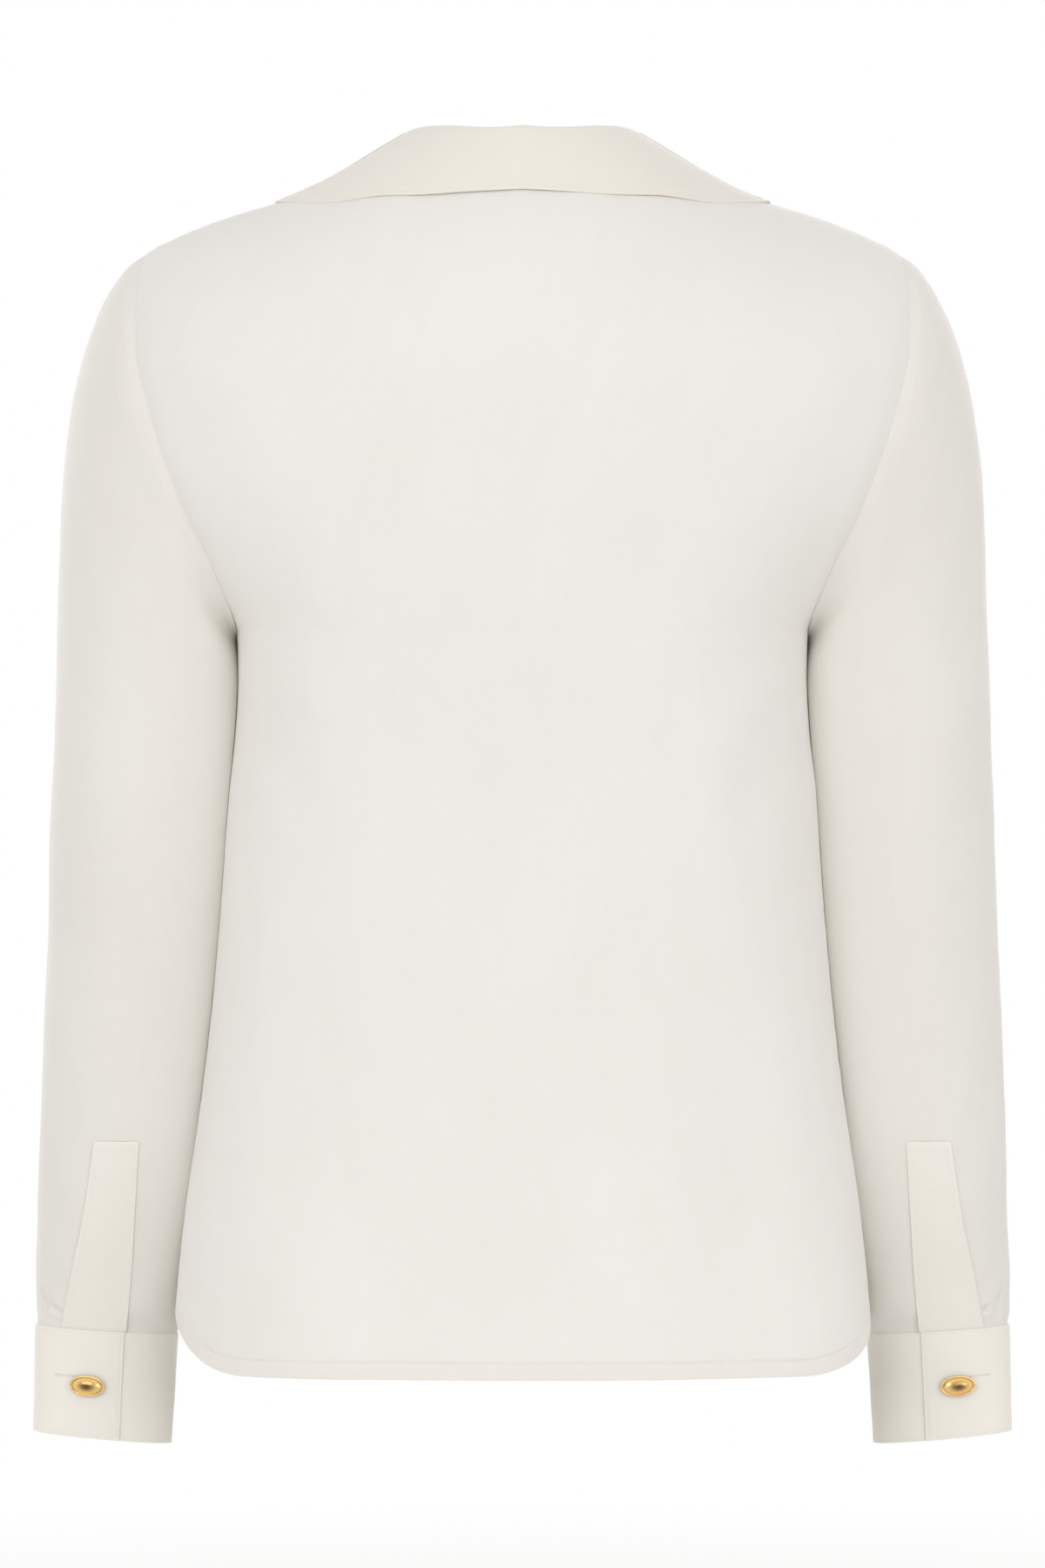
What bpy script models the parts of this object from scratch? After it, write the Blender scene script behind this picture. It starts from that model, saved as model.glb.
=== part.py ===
"""Long-sleeve polo shirt of cream silk, hollow and filled out as if worn.

The shirt stands in its own frame: +Z is up, the front faces -Y and the
wearer's left is +X.  The origin lies between the shoulders, at the base of
the neck, where the wearer carries the garment.  Sizes are in millimetres and
turn into metres when a mesh is made.

A point of the body of the shirt is named by x and by its drop, the way down
the cloth from the top of the shoulder: back drops are positive, front drops
negative.  A point of a sleeve is named by its level, the row of the table of
sections, and by its turn around the arm.
"""

from collections import namedtuple

import bmesh
import bpy
import numpy as np

MM = 0.001
WALL = 1.5                  # thickness of every cloth wall
SEAM = 0.42                 # half of the gap at a seam; the inner edges lie closer
LIFT = 0.9                  # gap below a piece that lies on a panel
MERGE = 0.02                # points closer than this are one
ROUNDS = 30                 # repeats that settle a value which depends on itself
SAMPLES = 400               # points that measure the length of a curve

# ---------------------------------------------------------------- the body

NECK_HALF_WIDTH = 72.0      # neck point at the shoulder seam
NECK_BACK_DEPTH = 60.0      # centre back of the neckline, in plan
BODY_SQUARENESS = 2.4       # exponent of the body's oval sections
UNDERARM_Z = -245.0
SIDE_HEM_Z = -619.0         # lower end of the side seam
HEM_Z = -649.3              # straight run of the hem
HEM_CORNER = 41.0           # width of the rounded corner of the hem
ARMHOLE_SHARE = 0.52        # share of the body's depth left at the armhole
ARMHOLE_FRONT_SHARE = 0.57
ARMHOLE_BEND = 150.0        # drop where the armhole starts to round off to the underarm
V_POINT_Z = -146.0
V_SLIT = 0.5                # half width of the slit under the front placket
V_CURVE = 1.15              # exponent of the V's edge; 1 is straight

Ridge = namedtuple("Ridge", "x z curl")
RIDGE = [                   # top line of the shoulder, and its roll to front and back
    Ridge(0.0, 26.0, 115.0),
    Ridge(40.0, 21.5, 115.0),
    Ridge(72.0, 14.0, 114.0),
    Ridge(105.0, 1.0, 109.0),
    Ridge(137.0, -9.3, 101.0),
    Ridge(165.0, -17.9, 93.0),
    Ridge(185.0, -25.6, 86.0),
    Ridge(200.0, -32.8, 81.0),
    Ridge(214.0, -41.5, 77.0),
    Ridge(232.0, -54.0, 75.0),
]

Body = namedtuple("Body", "z half_width back_depth front_depth")
BODY = [                    # sections; above the underarm the width is virtual
    Body(30.0, 229.0, 98.0, 84.0),
    Body(-38.0, 230.2, 101.0, 92.0),
    Body(-64.0, 232.8, 103.0, 96.0),
    Body(-92.0, 232.2, 106.0, 104.0),
    Body(-116.0, 226.8, 108.5, 110.0),
    Body(-142.0, 218.6, 110.5, 116.0),
    Body(-163.0, 208.9, 111.5, 120.0),
    Body(-187.0, 194.1, 112.0, 123.5),
    Body(-206.0, 179.5, 112.0, 125.0),
    Body(-228.0, 165.0, 112.0, 126.5),
    Body(-236.0, 160.4, 112.0, 126.8),
    Body(-245.0, 157.2, 112.0, 127.0),
    Body(-270.0, 156.8, 112.0, 127.0),
    Body(-296.0, 158.0, 111.5, 126.5),
    Body(-336.0, 161.8, 110.5, 125.0),
    Body(-416.0, 167.6, 109.5, 122.5),
    Body(-495.0, 176.0, 110.0, 121.5),
    Body(-568.0, 186.3, 111.0, 122.5),
    Body(-619.0, 191.0, 112.0, 123.5),
    Body(-660.0, 192.5, 112.5, 124.0),
]


def smooth(position, table, place, value):
    """Read a table's column as a curve without overshoot (monotone cubic)."""
    knots = np.array([getattr(row, place) for row in table], float)
    heights = np.array([getattr(row, value) for row in table], float)
    if knots[0] > knots[-1]:
        knots, heights = knots[::-1], heights[::-1]
    steps = np.diff(knots)
    rises = np.diff(heights) / steps
    inner = np.zeros(len(knots) - 2)
    same = rises[:-1] * rises[1:] > 0
    inner[same] = 2.0 * (rises[:-1] * rises[1:])[same] / (rises[:-1] + rises[1:])[same]
    slopes = np.concatenate([rises[:1], inner, rises[-1:]])
    at = np.clip(np.asarray(position, float), knots[0], knots[-1])
    cell = np.clip(np.searchsorted(knots, at) - 1, 0, len(steps) - 1)
    t = (at - knots[cell]) / steps[cell]
    return (heights[cell] * (1 + 2 * t) * (1 - t) ** 2
            + slopes[cell] * steps[cell] * t * (1 - t) ** 2
            + heights[cell + 1] * t ** 2 * (3 - 2 * t)
            + slopes[cell + 1] * steps[cell] * t ** 2 * (t - 1))


def ease(t):
    """Rise smoothly from 0 to 1."""
    t = np.clip(t, 0.0, 1.0)
    return t * t * (3 - 2 * t)


def ridge(x):
    """Height and roll radius of the shoulder's top line."""
    return smooth(np.abs(x), RIDGE, "x", "z"), smooth(np.abs(x), RIDGE, "x", "curl")


def fall_to(x, drop):
    """Height and turn reached at x after a drop over the shoulder and down the cloth."""
    top, curl = ridge(x)
    arc = np.abs(drop)
    turn = np.minimum(arc / curl, np.pi / 2)
    return top - curl * (1 - np.cos(turn)) - np.maximum(arc - curl * np.pi / 2, 0.0), turn


def drop_to(x, z):
    """The drop, without its sign, that reaches height z at x."""
    top, curl = ridge(x)
    fall = np.maximum(top - z, 0.0)
    turn = np.arccos(1 - np.minimum(fall / curl, 1.0))
    return curl * turn + np.maximum(fall - curl, 0.0)


def body_depth(z, front):
    """Depth of the body's section at height z, to the front or to the back."""
    return np.where(front, smooth(z, BODY, "z", "front_depth"), smooth(z, BODY, "z", "back_depth"))


def oval(share):
    """Depth share left at a share of the half width, and the other way round."""
    return (1 - np.clip(share, 0.0, 1.0) ** BODY_SQUARENESS) ** (1 / BODY_SQUARENESS)


def body(x, drop):
    """Points of the body's outer face, at x and drop."""
    x, drop = np.broadcast_arrays(np.asarray(x, float), np.asarray(drop, float))
    z, turn = fall_to(x, drop)
    share = oval(np.abs(x) / smooth(z, BODY, "z", "half_width"))
    depth = body_depth(z, drop < 0) * np.sin(turn) * share
    return np.stack([x, np.sign(drop) * depth, z], axis=-1)


def body_side(y, z):
    """Half width of the body at depth y and height z."""
    share = np.abs(y) / body_depth(z, y < 0)
    return smooth(z, BODY, "z", "half_width") * oval(share)


def body_normal(x, drop):
    """Outward direction of the body's face."""
    step = 0.5
    drop = np.where(np.abs(drop) < step, np.where(drop < 0, -step, step), drop)
    across = body(x + step, drop) - body(x - step, drop)
    down = body(x, drop + step) - body(x, drop - step)
    normal = np.cross(across, down)
    return normal / np.linalg.norm(normal, axis=-1, keepdims=True)


# ------------------------------------------------------- armholes and panels

ARMHOLE_NODES = np.concatenate([[0.0, 0.25], np.arange(1.0, 10.0)]) / 9.0
SIDE_STEPS = 7              # grid rows beside the side seam
NECK_STEPS = 4              # grid columns under half of the neckline
SHOULDER_STEPS = 6          # grid columns under one shoulder seam
ARMHOLE_FIRST_X = 190.0     # first guess at the half width along the armhole
EVEN_HURRY = 1.3            # above 1 the columns are evenly spread before the underarm
HEM_SQUARENESS = 2.2        # exponent of the hem's rounded corner


def underarm_drop():
    """Way down the cloth from the shoulder to the underarm."""
    return drop_to(smooth(UNDERARM_Z, BODY, "z", "half_width"), UNDERARM_Z)


def armhole_edge(drop, front):
    """Half width of a panel along its armhole, after a drop from the shoulder."""
    share_below = ARMHOLE_FRONT_SHARE if front else ARMHOLE_SHARE
    share = ARMHOLE_SHARE + (share_below - ARMHOLE_SHARE) * ease(drop / ARMHOLE_BEND)
    round_off = np.clip((drop - ARMHOLE_BEND) / (underarm_drop() - ARMHOLE_BEND), 0.0, 1.0)
    share = share * np.sqrt(1 - round_off ** 2)
    x = np.full(np.shape(drop), ARMHOLE_FIRST_X)
    for _ in range(ROUNDS):
        x = smooth(fall_to(x, drop)[0], BODY, "z", "half_width") * oval(share)
    return x


def armhole_drops(front, shares):
    """Drops at shares of the armhole's length, from the shoulder to the underarm."""
    drops = underarm_drop() * np.linspace(0.0, 1.0, SAMPLES)
    sign = -1.0 if front else 1.0
    points = body(armhole_edge(drops, front), sign * np.maximum(drops, 1e-6))
    length = np.concatenate([[0.0], np.cumsum(np.linalg.norm(np.diff(points, axis=0), axis=1))])
    return np.interp(length[-1] * shares, length, drops)


def armhole_side(front, shares):
    """Points of one side of the armhole, from the shoulder to the underarm."""
    drops = armhole_drops(front, shares)
    sign = -1.0 if front else 1.0
    return body(armhole_edge(drops, front), sign * np.maximum(drops, 1e-6))


def hem_z(x):
    """Height of the hem: straight, with a rounded corner up to the side seam."""
    side = smooth(SIDE_HEM_Z, BODY, "z", "half_width")
    share = np.clip((np.abs(x) - side + HEM_CORNER) / HEM_CORNER, 0.0, 1.0)
    corner = 1 - (1 - share ** HEM_SQUARENESS) ** (1 / HEM_SQUARENESS)
    return HEM_Z + (SIDE_HEM_Z - HEM_Z) * corner


def neckline(share, front):
    """Half width and drop of the neckline, from the centre to the neck point."""
    if front:
        x = V_SLIT + (NECK_HALF_WIDTH - V_SLIT) * share
        return x, drop_to(0.0, V_POINT_Z) * (1 - share) ** V_CURVE
    turn = share * np.pi / 2
    x = NECK_HALF_WIDTH * np.sin(turn)
    y = NECK_BACK_DEPTH * np.cos(turn)
    drop = np.full(np.shape(share), NECK_BACK_DEPTH)
    for _ in range(ROUNDS):
        z = fall_to(x, drop)[0]
        depth = body_depth(z, False) * oval(x / smooth(z, BODY, "z", "half_width"))
        drop = ridge(x)[1] * np.arcsin(np.clip(y / depth, 0.0, 1.0))
    return x, drop


def half_panel(front):
    """Grid of one half of the front or the back, from the centre to the side."""
    sign = -1.0 if front else 1.0
    neck_x, neck_drop = neckline(np.linspace(0.0, 1.0, NECK_STEPS + 1), front)
    drops = armhole_drops(front, ARMHOLE_NODES)
    edge_x = armhole_edge(drops, front)
    shoulder_x = np.linspace(NECK_HALF_WIDTH, edge_x[0], SHOULDER_STEPS + 1)[1:]
    top_x = np.concatenate([neck_x, shoulder_x])
    top_drop = np.concatenate([neck_drop, np.zeros(SHOULDER_STEPS)])
    columns = np.linspace(0.0, 1.0, len(top_x))

    def spread(share_of_width):
        turn = np.arcsin(np.clip(share_of_width, 0, 1) ** (BODY_SQUARENESS / 2))
        return (np.sin(columns * turn) / np.sin(turn)) ** (2 / BODY_SQUARENESS)

    rows = []
    for drop, x_end in zip(drops, edge_x):
        share = drop / drops[-1]
        even = spread(x_end / smooth(fall_to(x_end, drop)[0], BODY, "z", "half_width"))
        mixed = ease(share * EVEN_HURRY)
        x = x_end * ((1 - mixed) * top_x / edge_x[0] + mixed * even)
        down = top_drop + share * (drop_to(x, UNDERARM_Z) - top_drop)
        down += (drop - down[-1]) * columns ** 3
        rows.append(body(x, sign * down))
    even = spread(1.0)
    for share in np.linspace(0.0, 1.0, SIDE_STEPS + 1)[1:]:
        z_end = UNDERARM_Z + share * (SIDE_HEM_Z - UNDERARM_Z)
        x = smooth(z_end, BODY, "z", "half_width") * even
        z = UNDERARM_Z + share * (hem_z(x) - UNDERARM_Z)
        rows.append(body(x, sign * drop_to(x, z)))
    grid = np.array(rows)
    grid[..., 1] = sign * np.maximum(sign * grid[..., 1], SEAM)
    if front:
        grid[:, 0, 0] = np.where(grid[:, 0, 2] > PLACKET_FOOT_Z, V_SLIT, 0.0)
    return grid


# ------------------------------------------------------------------ sleeves

Arm = namedtuple("Arm", "level under_x under_z over_x over_z depth forward square seam")
ARM = [                     # one section a row, from the armhole to the cuff seam
    Arm(0.0, 158.0, -245.6, 210.3, -39.2, 116.0, 0.0, 2.0, 1.0),
    Arm(1.0, 158.8, -246.4, 217.6, -44.2, 116.0, 0.0, 2.0, 0.93),
    Arm(2.0, 160.0, -247.4, 226.6, -55.5, 116.5, -1.0, 2.0, 0.74),
    Arm(3.0, 160.6, -248.6, 235.6, -73.0, 117.0, -3.5, 2.0, 0.5),
    Arm(4.0, 160.4, -250.2, 243.6, -96.5, 118.0, -7.5, 2.1, 0.27),
    Arm(5.0, 159.5, -252.6, 250.4, -127.0, 119.0, -12.5, 2.4, 0.1),
    Arm(6.0, 158.0, -256.0, 254.8, -165.0, 120.0, -20.0, 3.1, 0.02),
    Arm(7.0, 156.2, -262.0, 257.3, -210.0, 120.0, -26.5, 4.2, 0.0),
    Arm(8.0, 154.5, -275.0, 258.8, -262.0, 119.0, -32.0, 5.5, 0.0),
    Arm(9.0, 156.0, -312.0, 260.6, -312.0, 117.0, -35.0, 7.0, 0.0),
    Arm(10.0, 160.0, -370.0, 262.7, -370.0, 112.0, -36.5, 8.0, 0.0),
    Arm(11.0, 165.5, -430.0, 264.6, -430.0, 106.0, -40.0, 8.0, 0.0),
    Arm(12.0, 172.0, -485.0, 267.0, -485.0, 101.0, -43.0, 8.0, 0.0),
    Arm(13.0, 177.5, -530.0, 268.8, -530.0, 95.0, -46.5, 7.5, 0.0),
    Arm(14.0, 182.5, -568.0, 270.0, -568.0, 85.0, -50.0, 6.0, 0.0),
    Arm(15.0, 187.5, -602.0, 271.0, -600.0, 70.0, -53.0, 4.2, 0.0),
    Arm(16.0, 192.0, -634.0, 270.8, -629.0, 55.5, -55.0, 2.0, 0.0),
]
ARM_SEAM = 0.5              # gap at the armhole seam
ARM_SEAM_TOP = 1.3          # and on top of the shoulder
ARM_OUTWARD = np.array([0.964, 0.0, -0.266])    # way from the armhole into the sleeve
ARM_CLEARANCE = 2.0         # air between the sleeve and the body
ARM_SOFTNESS = 1.5          # rounding where the sleeve is pressed by the body
ARM_CLEAR_LEVEL = 8.0       # the clearance is full from this level down
ARM_PRESS_LEVEL = 3.0       # and the body presses the sleeve fully from this one
ARM_PRESS_RISE = 10.0       # the pressing starts this far above the underarm
LOOP_STEPS = 180            # steps along one side of the armhole
SLIT_LEVEL = 13.0           # the slit under the sleeve placket starts here
SLIT_NODE = 6               # and lies at this node of the armhole, on the back
SLIT_HALF_WIDTH = 0.5
ARM_AXIS_X = 225.0          # upright axis that lies inside the left sleeve and cuff
ARM_AXIS_Y = -30.0


def armhole_loop(turn):
    """Points of the armhole around a turn: 0 shoulder, 90 degrees back, 180 underarm."""
    turn = np.mod(turn, 2 * np.pi)
    shares = np.linspace(0.0, 1.0, LOOP_STEPS + 1)
    loop = np.concatenate([armhole_side(False, shares), armhole_side(True, shares)[-2::-1]])
    share = np.linspace(0.0, 2 * np.pi, len(loop))
    return np.stack([np.interp(turn, share, loop[:, axis]) for axis in range(3)], axis=-1)


def ring(level, turn):
    """Plain oval of a sleeve section, squarer on the half that lies beside the body."""
    row = {name: smooth(level, ARM, "level", name) for name in Arm._fields[1:]}
    power = np.where(np.cos(turn) < 0, row["square"], 2.0)
    out = (np.abs(np.cos(turn)) ** power + np.abs(np.sin(turn)) ** power) ** (-1 / power)
    along = out * np.cos(turn)
    x = (row["over_x"] + row["under_x"]) / 2 + (row["over_x"] - row["under_x"]) / 2 * along
    z = (row["over_z"] + row["under_z"]) / 2 + (row["over_z"] - row["under_z"]) / 2 * along
    y = row["forward"] + row["depth"] / 2 * out * np.sin(turn)
    return np.stack([x, y, z], axis=-1)


def sleeve(level, turn):
    """Points of the left sleeve's outer face, at a level and a turn around the arm."""
    level, turn = np.broadcast_arrays(np.asarray(level, float), np.asarray(turn, float))
    gap = ARM_SEAM + (ARM_SEAM_TOP - ARM_SEAM) * ease((np.cos(turn) + 0.2) / 1.2)
    away = armhole_loop(turn) + gap[..., None] * ARM_OUTWARD - ring(np.zeros_like(level), turn)
    points = ring(level, turn) + smooth(level, ARM, "level", "seam")[..., None] * away
    wall = body_side(points[..., 1], points[..., 2]) + ARM_CLEARANCE * ease(level / ARM_CLEAR_LEVEL)
    over = points[..., 0] - wall
    pressed = wall + (over + np.sqrt(over ** 2 + 4 * ARM_SOFTNESS ** 2)) / 2
    below = ease((UNDERARM_Z + ARM_PRESS_RISE - points[..., 2]) / (2 * ARM_PRESS_RISE))
    below = below * ease(level / ARM_PRESS_LEVEL)
    points[..., 0] += below * (pressed - points[..., 0])
    return points


def sleeve_normal(level, turn):
    """Outward direction of the left sleeve's face."""
    around = sleeve(level, turn + 0.01) - sleeve(level, turn - 0.01)
    down = sleeve(level + 0.05, turn) - sleeve(level - 0.05, turn)
    normal = np.cross(down, around)
    return normal / np.linalg.norm(normal, axis=-1, keepdims=True)


def sleeve_grid():
    """Rings of the left sleeve; each starts and ends at the slit's line."""
    levels = np.array([row.level for row in ARM])
    back = np.pi * ARMHOLE_NODES
    turns = np.concatenate([back, 2 * np.pi - back[-2::-1]])
    turns = np.concatenate([turns[SLIT_NODE:], turns[1:SLIT_NODE + 1] + 2 * np.pi])
    grid = sleeve(levels[:, None], turns[None, :])
    half = SLIT_HALF_WIDTH * ease((levels - SLIT_LEVEL) / 0.5)
    run = grid[:, 1] - grid[:, -2]
    run /= np.linalg.norm(run, axis=1, keepdims=True)
    grid[:, 0] += half[:, None] * run
    grid[:, -1] -= half[:, None] * run
    return grid


# ------------------------------------------------------ plackets and cuffs

PLACKET_HALF_WIDTH = 14.0   # front placket
PLACKET_TOP_Z = -137.0
PLACKET_FOOT_Z = -290.0

Slip = namedtuple("Slip", "level outer inner")
SLEEVE_PLACKET = [          # edges of the sleeve placket, in degrees of turn
    Slip(12.9, 73.5, 104.0),
    Slip(14.0, 68.0, 105.5),
    Slip(15.0, 60.5, 107.0),
    Slip(15.96, 52.0, 107.0),
]

Cuff = namedtuple("Cuff", "under_x under_z over_x over_z depth forward")
CUFF_TOP = Cuff(191.8, -634.6, 271.6, -629.6, 56.5, -55.0)
CUFF_FOOT = Cuff(195.6, -695.8, 273.0, -688.8, 53.5, -56.5)
CUFF_START = 58.0           # turn of the covered end, in degrees
CUFF_END = 106.0            # turn of the end that shows
CUFF_LAP = 2.3              # step between the two layers of the cuff
CUFF_LAP_RUN = 1.2          # turn over which the under layer rises, in radians
CUFF_LAP_REST = 0.1         # turn past the end that shows where it starts to rise
CUFF_STEPS = 34
CUFF_ROWS = 3


def front_placket_grid():
    """Front placket band, lying on the front panel."""
    x = np.linspace(-PLACKET_HALF_WIDTH, PLACKET_HALF_WIDTH, 7)[None, :]
    z = np.linspace(PLACKET_TOP_Z, PLACKET_FOOT_Z, 6)[:, None]
    x, z = np.broadcast_arrays(x, z)
    drop = -drop_to(x, z)
    return body(x, drop) + (LIFT + WALL) * body_normal(x, drop)


def sleeve_placket_grid():
    """Sleeve placket band, lying on the back of the left sleeve."""
    level = np.linspace(SLEEVE_PLACKET[0].level, SLEEVE_PLACKET[-1].level, 7)[:, None]
    outer = smooth(level, SLEEVE_PLACKET, "level", "outer")
    inner = smooth(level, SLEEVE_PLACKET, "level", "inner")
    turn = np.radians(outer + (inner - outer) * np.linspace(0.0, 1.0, 5)[None, :])
    level, turn = np.broadcast_arrays(level, turn)
    return sleeve(level, turn) + (LIFT + WALL) * sleeve_normal(level, turn)


def cuff(share, turn):
    """Points of the left cuff's outer face at a share of its height."""
    row = [top + (foot - top) * share for top, foot in zip(CUFF_TOP, CUFF_FOOT)]
    under_x, under_z, over_x, over_z, depth, forward = row
    past_lap = turn - np.radians(CUFF_END) - CUFF_LAP_REST
    inset = CUFF_LAP * (1 - ease(past_lap / CUFF_LAP_RUN))
    along = np.cos(turn)
    x = (over_x + under_x) / 2 + ((over_x - under_x) / 2 - inset) * along
    z = (over_z + under_z) / 2 + (over_z - under_z) / 2 * along
    y = forward + (depth / 2 - inset) * np.sin(turn)
    return np.stack(np.broadcast_arrays(x, y, z), axis=-1)


def cuff_grid():
    """Grid of the left cuff, from its covered end round to the end that shows."""
    turn = np.radians(np.linspace(CUFF_START, 360.0 + CUFF_END, CUFF_STEPS + 1))
    share = np.linspace(0.0, 1.0, CUFF_ROWS + 1)
    return cuff(share[:, None], turn[None, :])


# ------------------------------------------------------------------- collar

Fold = namedtuple("Fold", "way neck reach lift roll sag edge_x edge_drop")
COLLAR = [      # way round: 0 centre back, 1 neck point, 2 end at the V
    Fold(0.00, 0.00, 20.8, 15.0, 3.2, 1.00, 0.0, 88.5),
    Fold(0.30, 0.30, 19.8, 14.4, 3.2, 1.05, 44.0, 84.0),
    Fold(0.55, 0.55, 18.0, 13.2, 3.1, 1.15, 84.0, 67.0),
    Fold(0.78, 0.78, 15.8, 11.6, 3.1, 1.28, 117.0, 42.0),
    Fold(1.00, 1.00, 13.4, 10.2, 3.0, 1.35, 136.0, 6.0),
    Fold(1.20, 1.20, 10.5, 9.0, 2.8, 1.30, 136.5, -34.0),
    Fold(1.45, 1.45, 6.5, 7.4, 2.6, 1.15, 128.0, -84.0),
    Fold(1.70, 1.70, 3.8, 5.6, 2.3, 1.00, 109.0, -138.0),
    Fold(1.97, 1.93, 1.6, 4.2, 1.9, 1.00, 82.0, -188.0),
]
COLLAR_STEPS = 15
COLLAR_REST = 2.6           # outer face of the fall above the panel's face
COLLAR_FOOT = 0.8           # foot of the stand above the panel's face
ROLL_TURNS = np.radians([180.0, 135.0, 90.0, 45.0, 0.0])
FALL_SHARES = np.array([0.18, 0.4, 0.62, 0.82, 1.0])


def neck_seam(way):
    """x and drop of the neck seam: way 0 at the centre back, 1 at the neck point, 2 at the V."""
    back_x, back_drop = neckline(np.clip(way, 0.0, 1.0), False)
    front_x, front_drop = neckline(np.clip(2.0 - way, 0.0, 1.0), True)
    return np.where(way <= 1.0, back_x, front_x), np.where(way <= 1.0, back_drop, -front_drop)


def unit(vector):
    """Vectors of length 1."""
    return vector / np.linalg.norm(vector, axis=-1, keepdims=True)


def collar_grid():
    """Half of the collar, from the centre back to its end at the V.

    Each section climbs the stand, rolls over its core and falls to the edge.
    """
    way = np.linspace(COLLAR[0].way, COLLAR[-1].way, COLLAR_STEPS + 1)
    row = {name: smooth(way, COLLAR, "way", name) for name in Fold._fields[1:]}
    neck_x, neck_drop = neck_seam(row["neck"])
    seam = body(neck_x, neck_drop)
    normal = body_normal(neck_x, neck_drop)
    ahead = neck_seam(row["neck"] + 0.01)
    behind = neck_seam(row["neck"] - 0.01)
    along = unit(body(*ahead) - body(*behind))
    inward = unit(np.cross(along, normal))
    inward *= np.sign(inward[:, 2:] - 0.2 * inward[:, :1])
    core = seam + row["reach"][:, None] * inward + row["lift"][:, None] * normal
    rest = seam + 0.5 * WALL * inward + COLLAR_FOOT * normal
    up = unit(core - rest)
    out = unit(np.cross(up, np.cross(inward, normal)))
    out *= np.sign(np.sum(out * (normal - 0.3 * inward), axis=-1, keepdims=True))
    radius = row["roll"][:, None]
    sections = [rest, rest + 0.5 * (core - radius * out - rest)]
    for angle in ROLL_TURNS:
        sections.append(core + radius * (np.cos(angle) * out + np.sin(angle) * up))
    lean = sections[-1] - seam
    for share in FALL_SHARES:
        x = neck_x + share * (row["edge_x"] - neck_x)
        drop = neck_drop + share * (row["edge_drop"] - neck_drop)
        lift = COLLAR_REST * share
        held = (1 - share) ** row["sag"][:, None]
        sections.append(body(x, drop) + held * lean + lift * body_normal(x, drop))
    grid = np.array(sections)
    grid[:, 0, 0] = 0.0
    return grid


# ------------------------------------------------------------------ buttons

BUTTON_LENGTH = 20.0
BUTTON_WIDTH = 11.3
BUTTON_STEPS = 24           # faces around a button
FRONT_BUTTON_SCALE = 0.75
FRONT_BUTTON_Z = (-158.0, -207.0, -256.0)
CUFF_BUTTON_TURN = np.radians(77.5)
CUFF_BUTTON_SHARE = 0.52

Turned = namedtuple("Turned", "radius height")
BUTTON_PROFILE = [          # shares of the half length, and heights in mm
    Turned(0.0, 4.1),
    Turned(0.3, 3.9),
    Turned(0.6, 3.3),
    Turned(0.82, 2.3),
    Turned(0.88, 1.9),
    Turned(0.95, 2.3),
    Turned(1.0, 1.6),
    Turned(0.95, 0.6),
    Turned(0.4, 0.3),
    Turned(0.0, 0.3),
]


# --------------------------------------------------------------- the object

SILK = (0.80, 0.78, 0.73)
SILK_DOUBLE = (0.84, 0.81, 0.74)    # collar, plackets and cuffs, of doubled cloth
SILK_ROUGHNESS = 0.6
GOLD = (0.83, 0.62, 0.28)
GOLD_ROUGHNESS = 0.25


def clear_scene():
    """Remove every object of the opened scene."""
    for item in list(bpy.data.objects):
        bpy.data.objects.remove(item, do_unlink=True)


def finish(name, colour, roughness, metallic=0.0):
    """One plain material for one sub-part."""
    material = bpy.data.materials.new(name)
    material.use_nodes = True
    shader = material.node_tree.nodes["Principled BSDF"]
    shader.inputs["Base Color"].default_value = (*colour, 1.0)
    shader.inputs["Roughness"].default_value = roughness
    shader.inputs["Metallic"].default_value = metallic
    return material


def add_object(name, mesh, material, collection):
    """Link a mesh to the scene as one named object."""
    item = bpy.data.objects.new(name, mesh)
    item.data.materials.append(material)
    collection.objects.link(item)
    return item


def sheet_mesh(name, grid, outward):
    """Open mesh over a grid of points; outward(centre) tells which way its faces look."""
    rows, columns = grid.shape[:2]
    index = np.arange(rows * columns).reshape(rows, columns)
    faces = np.stack([index[:-1, :-1], index[1:, :-1], index[1:, 1:], index[:-1, 1:]], axis=-1).reshape(-1, 4)
    points = grid.reshape(-1, 3)
    corners = points[faces]
    normals = np.cross(corners[:, 2] - corners[:, 0], corners[:, 3] - corners[:, 1])
    if np.sum(normals * outward(corners.mean(axis=1))) < 0:
        faces = faces[:, ::-1]
    mesh = bpy.data.meshes.new(name)
    mesh.from_pydata((points * MM).tolist(), [], faces.tolist())
    work = bmesh.new()
    work.from_mesh(mesh)
    bmesh.ops.remove_doubles(work, verts=work.verts, dist=MERGE * MM)
    work.to_mesh(mesh)
    work.free()
    mesh.shade_smooth()
    return mesh


def add_cloth(name, grid, outward, material, collection, mirrored=False):
    """A cloth piece: an open sheet, thickened inwards."""
    item = add_object(name, sheet_mesh(name, grid, outward), material, collection)
    if mirrored:
        mirror = item.modifiers.new("Mirror", "MIRROR")
        mirror.use_axis[0] = True
        mirror.merge_threshold = MERGE * MM
    solid = item.modifiers.new("Wall", "SOLIDIFY")
    solid.thickness = WALL * MM
    solid.offset = -1.0
    return item


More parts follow.
